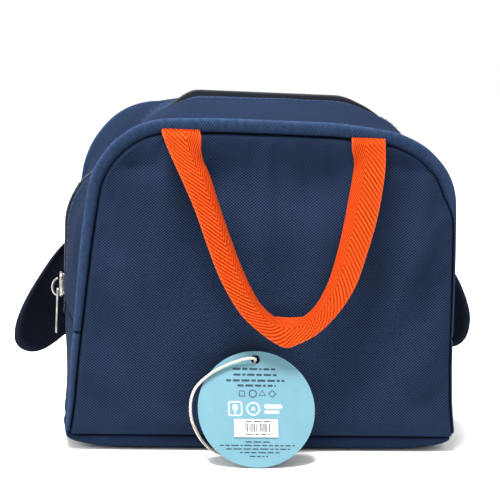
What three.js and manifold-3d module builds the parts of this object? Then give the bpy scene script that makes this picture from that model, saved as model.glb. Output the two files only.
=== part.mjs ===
// A soft insulated lunch bag: two fabric panels joined by a gusset that holds the zip, padded with foam and
// lined, with two webbing handles, two side flaps and a round hang tag on a string. Millimetres, +Z up.
// The rear panel faces -Y, and the origin is on the floor under the middle of the bag.
// The bag opens at a fold line: what lies above it turns outwards as a rear half and a front half.
import * as THREE from "three";
import { mergeVertices } from "three/addons/utils/BufferGeometryUtils.js";
import Module from "manifold-3d";

// ---- Driving dimensions ----
const BASE_HALF_WIDTH = 103.5; // of the shell at the floor
const SHOULDER_HALF_WIDTH = 97.5; // of the shell where the shoulders start
const SHOULDER_Z = 130;
const RIM_TOP = 171.5; // top edge of the panels
const SHOULDER_RADIUS = 40;
const HALF_DEPTH = 44;
const FOLD_Z = 60; // the line that the two halves turn about
const TOP_CROWN = 10.5; // the gusset rises this much from the panels to the zip
const SIDE_CROWN = 0.07; // the sides swell by this share of their width from the panels to the zip
const CROWN_FOOT_Z = 15; // the swelling grows between these two heights
const CROWN_FULL_Z = 130;

const GAP = 0.3; // between neighbouring pieces
const SHELL = 1.2; // outer fabric
const FOAM = 4;
const LINING = 0.8;
const BASE_SHEET = 1.5;

const ZIP_HALF_WIDTH = 6; // the tape's outer edge, from the zip's middle
const TAPE_INNER_Y = 2.9;
const COIL_OUTER_Y = 2.6;
const COIL_INNER_Y = 0.7;
const ZIP_END_TOP = 86; // below it the zip stays closed, with its slider
const FOAM_EDGE_Y = 8; // the padding stops short of the zip
const PANEL_FOAM_SETBACK = 1.5; // the panels' padding stops this much short of the gusset's outside

const HANDLE_WIDTH = 17;
const HANDLE_THICKNESS = 2.4;
const HANDLE_HINGE_Y = 46; // from the middle plane
const HANDLE_HINGE_Z = 165.5;
const HANDLE_LOW_Z = 67.5; // the middle of the band at its lowest point
const HANDLE_STAND_OFF = 8.6; // how much further out the handle's lowest point is than its hinge

const FLAP_THICKNESS = 3;
const FLAP_Y = 39;
const FLAP_CLEARANCE = 3; // from the side of the bag

const TAG_RADIUS = 30;
const TAG_THICKNESS = 0.8;
const TAG_HOLE_RADIUS = 2.4;
const TAG_HOLE_UP = 25.7; // from the tag's middle
const TAG_LEAN = THREE.MathUtils.degToRad(26);
const TAG_X = -8;
const TAG_FOOT_Y = -76;
const TAG_FOOT_Z = 0.3;
const STRING_DIAMETER = 1.4;

const ARC_STEPS = 8;
const SIDE_ROWS = 5; // points along each side above the fold line
const STRIP_STEPS = 5; // steps across the depth above it
const SWELL_ROWS = 8;
const SWELL_STEPS = 8;
const TAPER = Math.atan((BASE_HALF_WIDTH - SHOULDER_HALF_WIDTH) / SHOULDER_Z);

// ---- Materials ----
const finish = (color, roughness, metalness = 0) =>
  new THREE.MeshStandardMaterial({ color, roughness, metalness });
const panelCloth = finish(0x263048, 0.9);
const gussetCloth = finish(0x41577a, 0.85);
const flapCloth = finish(0x13161f, 0.8);
const foamWhite = finish(0xe9e9e4, 0.95);
const liningFoil = finish(0xc4c8cc, 0.45);
const tapeCloth = finish(0x141a28, 0.85);
const coilPlastic = finish(0x10131a, 0.5);
const zincAlloy = finish(0xb4b6b0, 0.35, 1);
const webbing = finish(0xff5519, 0.8);
const tagCard = finish(0x99d6e6, 0.6);
const stickerPaper = finish(0xf4f5f5, 0.5);
const cottonString = finish(0xe8dfc4, 0.9);

// ---- Solids ----
const wasm = await Module();
wasm.setup();

function solidOf(geometry) {
  const bare = geometry.index ? geometry.toNonIndexed() : geometry.clone();
  bare.deleteAttribute("normal");
  bare.deleteAttribute("uv");
  const merged = mergeVertices(bare, 1e-3);
  const mesh = new wasm.Mesh({
    numProp: 3,
    vertProperties: merged.attributes.position.array,
    triVerts: new Uint32Array(merged.index.array),
  });
  return new wasm.Manifold(mesh);
}

function geometryOf(solid) {
  const mesh = solid.getMesh();
  const geometry = new THREE.BufferGeometry();
  geometry.setAttribute("position", new THREE.BufferAttribute(mesh.vertProperties, 3));
  geometry.setIndex(new THREE.BufferAttribute(mesh.triVerts, 1));
  geometry.computeVertexNormals();
  return geometry;
}

function cut(geometry, tool) {
  return geometryOf(solidOf(geometry).subtract(solidOf(tool)));
}

function join(...geometries) {
  const [first, ...others] = geometries.map(solidOf);
  return geometryOf(others.reduce((sum, other) => sum.add(other), first));
}

// A box between two corners.
function block(low, high) {
  const size = high.map((value, axis) => value - low[axis]);
  const middle = high.map((value, axis) => (value + low[axis]) / 2);
  return new THREE.BoxGeometry(...size).translate(...middle);
}

// A shape drawn in X and Z, extruded from yLow to yHigh.
function slab(shape, yLow, yHigh, steps = 1, curveSegments = 12) {
  const options = { depth: yHigh - yLow, steps, curveSegments, bevelEnabled: false };
  return new THREE.ExtrudeGeometry(shape, options).rotateX(Math.PI / 2).translate(0, yHigh, 0);
}

// A slab between two distances from the middle plane, on the rear (-1) or the front (+1) of it.
function sideSlab(shape, facing, near, far, steps = 1) {
  return facing < 0 ? slab(shape, -far, -near, steps) : slab(shape, near, far, steps);
}

// ---- The bag's outline ----
const shoulderX =
  BASE_HALF_WIDTH -
  (RIM_TOP - SHOULDER_RADIUS + SHOULDER_RADIUS * Math.sin(TAPER)) * Math.tan(TAPER) -
  SHOULDER_RADIUS * Math.cos(TAPER);

// Half the width at a height below the shoulders, inset from the outline.
function halfWidth(inset, z) {
  return BASE_HALF_WIDTH - z * Math.tan(TAPER) - inset / Math.cos(TAPER);
}

// The outline from the right foot over both shoulders to the left foot.
function archPoints(inset, footZ) {
  const shoulderFootZ = RIM_TOP - SHOULDER_RADIUS + (SHOULDER_RADIUS - inset) * Math.sin(TAPER);
  const right = [];
  for (let i = 0; i < SIDE_ROWS; i++) {
    const z = THREE.MathUtils.lerp(footZ, shoulderFootZ, i / SIDE_ROWS);
    right.push(new THREE.Vector2(halfWidth(inset, z), z));
  }
  for (let i = 0; i <= ARC_STEPS; i++) {
    const angle = TAPER + (i / ARC_STEPS) * (Math.PI / 2 - TAPER);
    const radius = SHOULDER_RADIUS - inset;
    const x = shoulderX + radius * Math.cos(angle);
    const z = RIM_TOP - SHOULDER_RADIUS + radius * Math.sin(angle);
    right.push(new THREE.Vector2(x, z));
  }
  const left = right.map((point) => new THREE.Vector2(-point.x, point.y)).reverse();
  return [...right, ...left];
}

function panelShape(inset, footZ) {
  return new THREE.Shape(archPoints(inset, footZ));
}

function bandShape(outerInset, innerInset, footZ) {
  return new THREE.Shape([
    ...archPoints(outerInset, footZ),
    ...archPoints(innerInset, footZ).reverse(),
  ]);
}

// One side of a lower piece, from its foot to its top, with points along the stretch that swells.
function sidePoints(side, inset, footZ, topZ) {
  const heights = [footZ];
  for (let i = 0; i <= SWELL_ROWS; i++) {
    const z = CROWN_FOOT_Z + (i / SWELL_ROWS) * (CROWN_FULL_Z - CROWN_FOOT_Z);
    if (z > footZ && z < topZ) heights.push(z);
  }
  heights.push(topZ);
  return heights.map((z) => new THREE.Vector2(side * halfWidth(inset, z), z));
}

function lowerShape(inset, footZ, topZ) {
  return new THREE.Shape([
    ...sidePoints(1, inset, footZ, topZ),
    ...sidePoints(-1, inset, footZ, topZ).reverse(),
  ]);
}

function sideShape(side, outerInset, innerInset, footZ, topZ) {
  return new THREE.Shape([
    ...sidePoints(side, outerInset, footZ, topZ),
    ...sidePoints(side, innerInset, footZ, topZ).reverse(),
  ]);
}

// How much the sides have swollen at a height, from 0 to 1.
function sideRise(z) {
  return THREE.MathUtils.clamp((z - CROWN_FOOT_Z) / (CROWN_FULL_Z - CROWN_FOOT_Z), 0, 1);
}

// Swells a piece of the bag: the nearer a point is to the zip's plane, the further out it stands.
function crown(geometry) {
  const position = geometry.getAttribute("position");
  for (let i = 0; i < position.count; i++) {
    const z = position.getZ(i);
    const nearness = 1 - Math.abs(position.getY(i)) / HALF_DEPTH;
    const topRise = Math.max(0, (z - FOLD_Z) / (RIM_TOP - FOLD_Z));
    position.setX(i, position.getX(i) * (1 + SIDE_CROWN * nearness * sideRise(z)));
    position.setZ(i, z + TOP_CROWN * nearness * topRise);
  }
  geometry.computeVertexNormals();
  return geometry;
}

// ---- Scene graph ----
const bag = new THREE.Group();

function add(name, geometry, material, parent = bag) {
  const mesh = new THREE.Mesh(geometry, material);
  mesh.name = name;
  parent.add(mesh);
  return mesh;
}

// Distances from the middle plane to each layer of a panel, and insets from the outline to each layer
// of the gusset.
const PANEL_INNER_Y = HALF_DEPTH - SHELL;
const GUSSET_EDGE_Y = PANEL_INNER_Y - GAP;
const FOAM_INNER_Y = GUSSET_EDGE_Y - FOAM;
const LINING_OUTER_Y = FOAM_INNER_Y - GAP;
const LINING_INNER_Y = LINING_OUTER_Y - LINING;
const FOAM_INSET = SHELL + GAP;
const PANEL_FOAM_INSET = FOAM_INSET + PANEL_FOAM_SETBACK;
const LINING_INSET = FOAM_INSET + FOAM + GAP;
const LOWER_TOP_Z = FOLD_Z - GAP / 2;
const UPPER_FOOT_Z = FOLD_Z + GAP / 2;
const TAPE_INSET = 0.6;
const TAPE_THICKNESS = 0.8;
const COIL_INSET = -0.4;
const COIL_THICKNESS = 2;
const CUT_PAST = 5; // how far a cutting solid reaches past the piece it cuts

// The part of the bag above the fold line, on the rear (-1) or the front (+1).
function addHalf(name, facing) {
  const panel = sideSlab(panelShape(0, UPPER_FOOT_Z), facing, PANEL_INNER_Y, HALF_DEPTH);
  add(name + "_panel_upper", crown(panel), panelCloth);

  const strip = bandShape(0, SHELL, UPPER_FOOT_Z);
  const stripSlab = sideSlab(strip, facing, ZIP_HALF_WIDTH + GAP, GUSSET_EDGE_Y, STRIP_STEPS);
  add(name + "_gusset_strip", crown(stripSlab), gussetCloth);

  const foamShape = panelShape(PANEL_FOAM_INSET, UPPER_FOOT_Z);
  const panelFoam = sideSlab(foamShape, facing, FOAM_INNER_Y, GUSSET_EDGE_Y);
  add(name + "_foam_panel_upper", crown(panelFoam), foamWhite);

  const foamBand = bandShape(FOAM_INSET, FOAM_INSET + FOAM, UPPER_FOOT_Z);
  const foamSlab = sideSlab(foamBand, facing, FOAM_EDGE_Y, LINING_OUTER_Y, STRIP_STEPS);
  add(name + "_foam_gusset", crown(foamSlab), foamWhite);

  const outside = panelShape(LINING_INSET, UPPER_FOOT_Z);
  const outer = sideSlab(outside, facing, FOAM_EDGE_Y, LINING_OUTER_Y, STRIP_STEPS);
  const hollow = panelShape(LINING_INSET + LINING, UPPER_FOOT_Z - CUT_PAST);
  const inner = sideSlab(hollow, facing, FOAM_EDGE_Y - CUT_PAST, LINING_INNER_Y, STRIP_STEPS);
  add(name + "_lining_upper", cut(crown(outer), crown(inner)), liningFoil);

  const footZ = ZIP_END_TOP + GAP / 2;
  const tape = bandShape(TAPE_INSET, TAPE_INSET + TAPE_THICKNESS, footZ);
  add(name + "_zip_tape", crown(sideSlab(tape, facing, TAPE_INNER_Y, ZIP_HALF_WIDTH)), tapeCloth);

  const coil = bandShape(COIL_INSET, COIL_INSET + COIL_THICKNESS, footZ);
  add(name + "_zip_coil", crown(sideSlab(coil, facing, COIL_INNER_Y, COIL_OUTER_Y)), coilPlastic);
}

// The part of the bag below the fold line.
function addLowerBag() {
  const foamFoot = BASE_SHEET + GAP + FOAM + GAP;
  add("base_panel", slab(lowerShape(0, 0, BASE_SHEET), -GUSSET_EDGE_Y, GUSSET_EDGE_Y), gussetCloth);
  const baseFoam = lowerShape(FOAM_INSET, BASE_SHEET + GAP, BASE_SHEET + GAP + FOAM);
  add("base_foam", slab(baseFoam, -GUSSET_EDGE_Y, GUSSET_EDGE_Y), foamWhite);

  for (const [name, facing] of [["rear", -1], ["front", 1]]) {
    const panel = sideSlab(lowerShape(0, 0, LOWER_TOP_Z), facing, PANEL_INNER_Y, HALF_DEPTH);
    add(name + "_panel_lower", crown(panel), panelCloth);
    const foamShape = lowerShape(PANEL_FOAM_INSET, foamFoot, LOWER_TOP_Z);
    const foam = sideSlab(foamShape, facing, FOAM_INNER_Y, GUSSET_EDGE_Y);
    add(name + "_foam_panel_lower", crown(foam), foamWhite);
  }

  for (const [name, side] of [["left", -1], ["right", 1]]) {
    const wall = sideShape(side, 0, SHELL, BASE_SHEET + GAP, LOWER_TOP_Z);
    const wallSlab = slab(wall, -GUSSET_EDGE_Y, GUSSET_EDGE_Y, SWELL_STEPS);
    add(name + "_side_lower", crown(wallSlab), gussetCloth);
    const foam = sideShape(side, FOAM_INSET, FOAM_INSET + FOAM, foamFoot, LOWER_TOP_Z);
    const foamSlab = slab(foam, -LINING_OUTER_Y, LINING_OUTER_Y, SWELL_STEPS);
    add(name + "_side_foam_lower", crown(foamSlab), foamWhite);
  }

  const outside = lowerShape(LINING_INSET, foamFoot, LOWER_TOP_Z);
  const outer = slab(outside, -LINING_OUTER_Y, LINING_OUTER_Y, SWELL_STEPS);
  const hollow = lowerShape(LINING_INSET + LINING, foamFoot + LINING, LOWER_TOP_Z + CUT_PAST);
  const inner = slab(hollow, -LINING_INNER_Y, LINING_INNER_Y, SWELL_STEPS);
  add("lining_tub", cut(crown(outer), crown(inner)), liningFoil);
}

// A frame at the zip's middle on one side of the bag: its Z runs up along the side, and its X points
// out of the bag on the right and into it on the left.
const ZIP_RUN_TOP = 122; // the zip is as good as straight up to here
const zipX = (z) => halfWidth(0, z) * (1 + SIDE_CROWN * sideRise(z));
const zipLean = Math.atan((zipX(FOLD_Z) - zipX(ZIP_RUN_TOP)) / (ZIP_RUN_TOP - FOLD_Z)); // inwards

function zipFrame(side, z) {
  const frame = new THREE.Group();
  frame.position.set(side * zipX(z), 0, z);
  frame.rotation.y = -side * zipLean;
  bag.add(frame);
  return frame;
}

// The closed lowest stretch of the zip: a tape and a coil, each with two legs that meet at the foot.
const ZIP_FOOT_LENGTH = 3;
const ZIP_FOOT_LIFT = 0.2; // above the fold line

function addZipEnd(name, side) {
  const frame = zipFrame(side, UPPER_FOOT_Z);
  const length = (ZIP_END_TOP - GAP / 2 - UPPER_FOOT_Z) / Math.cos(zipLean);
  const across = (inset) => -side * inset;
  const leaf = (insetA, insetB, halfY, zLow, zHigh) => {
    const xs = [across(insetA), across(insetB)].sort((a, b) => a - b);
    return block([xs[0], -halfY, zLow], [xs[1], halfY, zHigh]);
  };
  const tapeBack = TAPE_INSET + TAPE_THICKNESS;
  const tape = leaf(TAPE_INSET, tapeBack, ZIP_HALF_WIDTH, ZIP_FOOT_LIFT, length);
  const room = [TAPE_INSET - CUT_PAST, tapeBack + CUT_PAST];
  const coilRoom = leaf(...room, TAPE_INNER_Y, ZIP_FOOT_LENGTH, length + CUT_PAST);
  add(name + "_zip_end_tape", cut(tape, coilRoom), tapeCloth, frame);
  const coilBack = COIL_INSET + COIL_THICKNESS;
  const coil = leaf(COIL_INSET, coilBack, COIL_OUTER_Y, ZIP_FOOT_LENGTH + GAP, length);
  const slot = [COIL_INSET - CUT_PAST, coilBack + CUT_PAST];
  const slit = leaf(...slot, COIL_INNER_Y, 2 * ZIP_FOOT_LENGTH, length + CUT_PAST);
  add(name + "_zip_end_coil", cut(coil, slit), coilPlastic, frame);
}

// The slider: two plates with the zip between them, joined by a wedge, and a bail for the pull. Measured
// in the zip's frame, where -X points out of the bag.
const SLIDER_Z = 78; // where the slider waits
const SLIDER_FOOT = -6; // the plates' lower end, from there
const SLIDER_HEAD = 7;
const SLIDER_HALF_WIDTH = 4.5;
const OUTER_PLATE = [-2.6, -1.4];
const INNER_PLATE = [2.4, 3.5]; // clear of the tape, which falls away on both sides of the coil
const WEDGE_HALF_WIDTH = 0.4;
const WEDGE_HEAD = -2;
const BAIL_FOOT = -5;
const BAIL_HEAD = 1;
const BAIL_OUT = -5.8;
const BAIL_WIRE = 1;
const BAIL_HALF_WIDTH = 0.8;
const PULL_PIVOT_OUT = 3.6; // the pull's bar, outwards from the bag's side
const PULL_PIVOT_UP = -3;
const PULL_LENGTH = 23;
const PULL_TIP_RADIUS = 2.8;
const PULL_HEAD_HALF_WIDTH = 2.4;
const PULL_EYE_RADIUS = 1.1;
const PULL_THICKNESS = 1;
const PULL_WINDOW_HALF_WIDTH = 1.2; // the opening in the pull that the bail passes through
const PULL_WINDOW = [-4.8, -0.5];

function sliderBody() {
  const ends = [SLIDER_FOOT, SLIDER_HEAD];
  const plate = ([near, far], halfWidthY, [low, high]) =>
    block([near, -halfWidthY, low], [far, halfWidthY, high]);
  const wedgeDepth = [OUTER_PLATE[1] - 0.1, INNER_PLATE[0] + 0.1]; // a little into both plates
  const bail = new THREE.Shape([
    new THREE.Vector2(OUTER_PLATE[0] + 0.1, BAIL_FOOT),
    new THREE.Vector2(OUTER_PLATE[0] + 0.1, BAIL_HEAD),
    new THREE.Vector2(BAIL_OUT + 0.8, BAIL_HEAD),
    new THREE.Vector2(BAIL_OUT, BAIL_HEAD - BAIL_WIRE),
    new THREE.Vector2(BAIL_OUT, BAIL_FOOT + BAIL_WIRE),
    new THREE.Vector2(BAIL_OUT + 0.8, BAIL_FOOT),
  ]);
  const bailWindow = plate(
    [BAIL_OUT + BAIL_WIRE + 0.1, OUTER_PLATE[0] - 0.1],
    2 * BAIL_HALF_WIDTH,
    [BAIL_FOOT + BAIL_WIRE, BAIL_HEAD - BAIL_WIRE],
  );
  return join(
    plate(OUTER_PLATE, SLIDER_HALF_WIDTH, ends),
    plate(INNER_PLATE, SLIDER_HALF_WIDTH - GAP, ends),
    plate(wedgeDepth, WEDGE_HALF_WIDTH, [SLIDER_FOOT + 0.5, WEDGE_HEAD]),
    cut(slab(bail, -BAIL_HALF_WIDTH, BAIL_HALF_WIDTH), bailWindow),
  );
}

// A slim plate with a rounded tip and an eye, one window at its head for the bail.
function pullTab() {
  const tipZ = PULL_TIP_RADIUS - PULL_LENGTH;
  const outline = new THREE.Shape();
  outline.moveTo(-PULL_HEAD_HALF_WIDTH, 0.5);
  outline.lineTo(-PULL_TIP_RADIUS, tipZ);
  outline.absarc(0, tipZ, PULL_TIP_RADIUS, Math.PI, 2 * Math.PI, false);
  outline.lineTo(PULL_HEAD_HALF_WIDTH, 0.5);
  const eye = new THREE.Path();
  eye.absarc(0, tipZ, PULL_EYE_RADIUS, 0, 2 * Math.PI, true);
  outline.holes.push(eye);
  const half = PULL_THICKNESS / 2;
  // drawn across X and Z, then turned to lie across Y and Z
  const tab = slab(outline, -half, half, 1, 8).rotateZ(Math.PI / 2);
  const [low, high] = PULL_WINDOW;
  const barWindow = block(
    [-PULL_THICKNESS, -PULL_WINDOW_HALF_WIDTH, low],
    [PULL_THICKNESS, PULL_WINDOW_HALF_WIDTH, high],
  );
  return cut(tab, barWindow);
}

function addSlider() {
  const frame = zipFrame(-1, SLIDER_Z);
  add("slider_body", sliderBody(), zincAlloy, frame);
  const pivot = new THREE.Group();
  pivot.position.set(-PULL_PIVOT_OUT, 0, PULL_PIVOT_UP);
  frame.add(pivot);
  add("pull_tab", pullTab(), zincAlloy, pivot);
}

// A U of flat webbing that hangs from the panel's top seam and stands off a little at its lowest point.
function addHandle(name, facing) {
  const centreline = new THREE.SplineCurve([
    new THREE.Vector2(-51, HANDLE_HINGE_Z),
    new THREE.Vector2(-43, 139),
    new THREE.Vector2(-32, 109),
    new THREE.Vector2(-19, 83),
    new THREE.Vector2(5, HANDLE_LOW_Z),
    new THREE.Vector2(25, 80),
    new THREE.Vector2(36, 103),
    new THREE.Vector2(42, 132),
    new THREE.Vector2(46, HANDLE_HINGE_Z),
  ]);
  const steps = 30;
  const outer = [];
  const inner = [];
  for (let i = 0; i <= steps; i++) {
    const point = centreline.getPoint(i / steps);
    const tangent = centreline.getTangent(i / steps);
    const normal = new THREE.Vector2(-tangent.y, tangent.x).multiplyScalar(HANDLE_WIDTH / 2);
    inner.push(point.clone().add(normal));
    outer.push(point.clone().sub(normal));
  }
  // no corner of the band's ends stands above the hinge, so that none meets the panel as it swings
  const drop = (point) => new THREE.Vector2(point.x, Math.min(point.y - HANDLE_HINGE_Z, 0));
  const shape = new THREE.Shape([...outer, ...inner.reverse()].map(drop));
  const pivot = new THREE.Group();
  pivot.position.set(0, facing * HANDLE_HINGE_Y, HANDLE_HINGE_Z);
  pivot.rotation.x = facing * Math.atan(HANDLE_STAND_OFF / (HANDLE_HINGE_Z - HANDLE_LOW_Z));
  bag.add(pivot);
  add(name + "_handle", slab(shape, -HANDLE_THICKNESS / 2, HANDLE_THICKNESS / 2), webbing, pivot);
}

// A soft leaf sewn into the front panel's side seam, drooping outwards.
function addFlap(name, side) {
  const rootX = (z) => side * (halfWidth(0, z) + FLAP_CLEARANCE);
  const outline = new THREE.Shape();
  outline.moveTo(rootX(97), 97);
  outline.bezierCurveTo(side * 112, 86, side * 123, 68, side * 127.5, 52);
  outline.bezierCurveTo(side * 130, 43, side * 128, 36.5, side * 121, 35.5);
  outline.bezierCurveTo(side * 116, 34.8, side * 112, 37, rootX(43), 43);
  outline.lineTo(rootX(80), 80);
  const yLow = FLAP_Y - FLAP_THICKNESS / 2;
  add(name + "_flap", slab(outline, yLow, yLow + FLAP_THICKNESS), flapCloth);
}

// The hang tag leans on the bag. Its own frame stands on its foot: X across, Z up along the card, and
// -Y out of its printed face.
const STICKER = { half: [11.2, 4.6], across: -0.5, up: 20, gap: 0.1, thickness: 0.4 };

function addTag() {
  const frame = new THREE.Group();
  frame.position.set(TAG_X, TAG_FOOT_Y, TAG_FOOT_Z);
  frame.rotation.x = -TAG_LEAN;
  bag.add(frame);
  const disc = new THREE.Shape();
  disc.absarc(0, TAG_RADIUS, TAG_RADIUS, 0, 2 * Math.PI, false);
  const hole = new THREE.Path();
  hole.absarc(0, TAG_RADIUS + TAG_HOLE_UP, TAG_HOLE_RADIUS, 0, 2 * Math.PI, true);
  disc.holes.push(hole);
  const half = TAG_THICKNESS / 2;
  add("hang_tag", slab(disc, -half, half, 1, 40), tagCard, frame);
  const face = -half - STICKER.gap;
  const sticker = block(
    [STICKER.across - STICKER.half[0], face - STICKER.thickness, STICKER.up - STICKER.half[1]],
    [STICKER.across + STICKER.half[0], face, STICKER.up + STICKER.half[1]],
  );
  add("tag_sticker", sticker, stickerPaper, frame);
}

// The string: a loop through the tag's hole, over the card's left edge, and back to a knot on the floor
// behind the card. Its points are in the bag's frame.
const STRING_POINTS = [
  [-14.6, -55.2, 1.2],
  [-21, -55.9, 1.3],
  [-28, -56.9, 3.4],
  [-33.6, -58.3, 8.2],
  [-37.8, -60, 14.5],
  [-40.6, -61.6, 21],
  [-41.6, -62, 27.2],
  [-41, -61, 32.9],
  [-38.3, -59.1, 38],
  [-32, -56.7, 43.3],
  [-24, -54.9, 47.6],
  [-17, -54.15, 50.2],
  [-13.5, -54.2, 51.2],
  [-10.8, -54.1, 51.6],
  [-9.4, -53.8, 51.4],
  [-8.4, -52.85, 51],
  [-8, -51.6, 50.4],
  [-8, -50.5, 49.3],
  [-8, -50, 47.9],
  [-8, -49.95, 44],
  [-8.1, -50.1, 37],
  [-8.2, -50.7, 28],
  [-8.4, -51.7, 17],
  [-8.9, -53.1, 8],
  [-10.6, -54.6, 3.2],
];

const KNOT_MIDDLE = [-12.5, -55, 1.7];
const KNOT_RADIUS = 1.5;

function addString() {
  const points = STRING_POINTS.map((point) => new THREE.Vector3(...point));
  const route = new THREE.CatmullRomCurve3(points, false, "centripetal");
  const section = new THREE.Shape();
  const sides = 8;
  for (let i = 0; i < sides; i++) {
    const angle = (2 * Math.PI * i) / sides;
    const x = (STRING_DIAMETER / 2) * Math.cos(angle);
    const y = (STRING_DIAMETER / 2) * Math.sin(angle);
    if (i === 0) section.moveTo(x, y);
    else section.lineTo(x, y);
  }
  const tube = new THREE.ExtrudeGeometry(section, { steps: 64, extrudePath: route, bevelEnabled: false });
  add("tag_string", tube, cottonString);
  const knot = new THREE.SphereGeometry(KNOT_RADIUS, 12, 8).translate(...KNOT_MIDDLE);
  add("tag_knot", knot, cottonString);
}

addLowerBag();
addHalf("rear", -1);
addHalf("front", 1);
addZipEnd("left", -1);
addZipEnd("right", 1);
addSlider();
addHandle("rear", -1);
addHandle("front", 1);
addFlap("left", -1);
addFlap("right", 1);
addTag();
addString();

export default bag;
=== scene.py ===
"""The looks of a soft insulated lunch bag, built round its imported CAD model.

Metres, in the CAD model's frame: +Z up, the rear panel faces -Y, the zip's arch lies in the plane y = 0.
The order is camera, cord, shape functions, materials, then the pieces from the outside to the inside.
"""
import math

import bmesh
import bpy
import numpy as np
from mathutils import Matrix, Quaternion, Vector, noise


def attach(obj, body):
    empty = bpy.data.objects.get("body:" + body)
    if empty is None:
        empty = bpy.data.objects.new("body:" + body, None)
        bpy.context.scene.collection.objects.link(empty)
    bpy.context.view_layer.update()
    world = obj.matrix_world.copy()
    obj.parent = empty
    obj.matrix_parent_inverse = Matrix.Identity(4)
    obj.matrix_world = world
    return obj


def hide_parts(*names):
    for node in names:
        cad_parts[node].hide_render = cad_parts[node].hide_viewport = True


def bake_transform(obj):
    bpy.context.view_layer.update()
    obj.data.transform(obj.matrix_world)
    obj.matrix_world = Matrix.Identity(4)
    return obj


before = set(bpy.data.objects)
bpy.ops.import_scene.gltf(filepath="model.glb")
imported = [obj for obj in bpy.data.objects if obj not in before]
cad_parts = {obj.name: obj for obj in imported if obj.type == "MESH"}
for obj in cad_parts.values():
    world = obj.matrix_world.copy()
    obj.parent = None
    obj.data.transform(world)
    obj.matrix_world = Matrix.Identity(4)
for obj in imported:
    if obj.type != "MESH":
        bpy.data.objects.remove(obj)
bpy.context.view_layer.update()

MM = 0.001
HALVES = {-1: "rear", 1: "front"}  # by the way they face along Y
SIDES = {-1: "left", 1: "right"}  # by their place along X

# ---- Camera: at the photograph's viewing angle ----
CAMERA_PLACE = Vector((-0.1448, -0.8795, 0.2334))
CAMERA_TARGET = Vector((0.0, -0.0037, 0.0988))
CAMERA_ROLL = math.radians(2.9)
CAMERA_LENS = 120.74
SENSOR_WIDTH = 36
CLIP_START = 0.05
CAMERA_SHIFT = (-0.022, 0.0035)


def link_object(name, data):
    obj = bpy.data.objects.new(name, data)
    bpy.context.scene.collection.objects.link(obj)
    return obj


def add_camera():
    data = bpy.data.cameras.new("camera")
    data.lens = CAMERA_LENS
    data.sensor_width = SENSOR_WIDTH
    data.shift_x, data.shift_y = CAMERA_SHIFT
    data.clip_start = CLIP_START
    camera = link_object("camera", data)
    look = (CAMERA_TARGET - CAMERA_PLACE).to_track_quat("-Z", "Y")
    camera.rotation_mode = "QUATERNION"
    camera.rotation_quaternion = look @ Quaternion((0, 0, 1), CAMERA_ROLL)
    camera.location = CAMERA_PLACE
    bpy.context.scene.camera = camera


# ---- Sizes shared with the CAD model ----
BASE_HALF_WIDTH = 0.1035
SHOULDER_HALF_WIDTH = 0.0975
SHOULDER_Z = 0.130
RIM_TOP = 0.1715
SHOULDER_RADIUS = 0.040
HALF_DEPTH = 0.044
FOLD_Z = 0.060
TOP_CROWN = 0.0105
SIDE_CROWN = 0.07
CROWN_FOOT_Z = 0.015
CROWN_FULL_Z = 0.130
ZIP_RUN_TOP = 0.122

HANDLE_HINGE_Y = 0.046
HANDLE_HINGE_Z = 0.1655
HANDLE_LOW_Z = 0.0675
HANDLE_STAND_OFF = 0.0086

TAG_FOOT = Vector((-0.008, -0.076, 0.0003))
TAG_LEAN = math.radians(26)
TAG_HALF_THICKNESS = 0.0004

SLIDER_Z = 0.078
PULL_PIVOT = (-0.0036, -0.003)  # outwards and up, in the slider's frame

STRING_DIAMETER = 0.0014
KNOT_MIDDLE = Vector((-0.0125, -0.055, 0.0017))
STRING_POINTS = [
    (-14.6, -55.2, 1.2), (-21, -55.9, 1.3), (-28, -56.9, 3.4), (-33.6, -58.3, 8.2),
    (-37.8, -60, 14.5), (-40.6, -61.6, 21), (-41.6, -62, 27.2), (-41, -61, 32.9),
    (-38.3, -59.1, 38), (-32, -56.7, 43.3), (-24, -54.9, 47.6), (-17, -54.15, 50.2),
    (-13.5, -54.2, 51.2), (-10.8, -54.1, 51.6), (-9.4, -53.8, 51.4), (-8.4, -52.85, 51),
    (-8, -51.6, 50.4), (-8, -50.5, 49.3), (-8, -50, 47.9), (-8, -49.95, 44),
    (-8.1, -50.1, 37), (-8.2, -50.7, 28), (-8.4, -51.7, 17), (-8.9, -53.1, 8),
    (-10.6, -54.6, 3.2),
]  # millimetres: the route of the CAD cord


def catmull_rom(a, b, c, d, t):
    """The curve's point between b and c."""
    return 0.5 * (2 * b + (c - a) * t + (2 * a - 5 * b + 4 * c - d) * t**2
                  + (3 * b - a - 3 * c + d) * t**3)


def smooth_route(points, steps):
    """A Catmull-Rom route through the points, with so many steps for each of them."""
    points = [Vector(p) for p in points]
    ends = [2 * points[0] - points[1], *points, 2 * points[-1] - points[-2]]
    route = [catmull_rom(*four, i / steps) for four in zip(ends, ends[1:], ends[2:], ends[3:])
             for i in range(steps)]
    return route + [points[-1]]


def add_string():
    """The tag's string, as a smooth curve through the CAD route's points."""
    data = bpy.data.curves.new("hang_string", "CURVE")
    data.dimensions = "3D"
    data.bevel_depth = STRING_DIAMETER / 2
    data.bevel_resolution = 3
    data.use_fill_caps = True
    points = smooth_route([Vector(p) * MM for p in STRING_POINTS], 6)
    spline = data.splines.new("POLY")
    spline.points.add(len(points) - 1)
    for point, place in zip(spline.points, points):
        point.co = (*place, 1)
    return link_object("hang_string", data)


add_camera()
hang_string = add_string()


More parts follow.
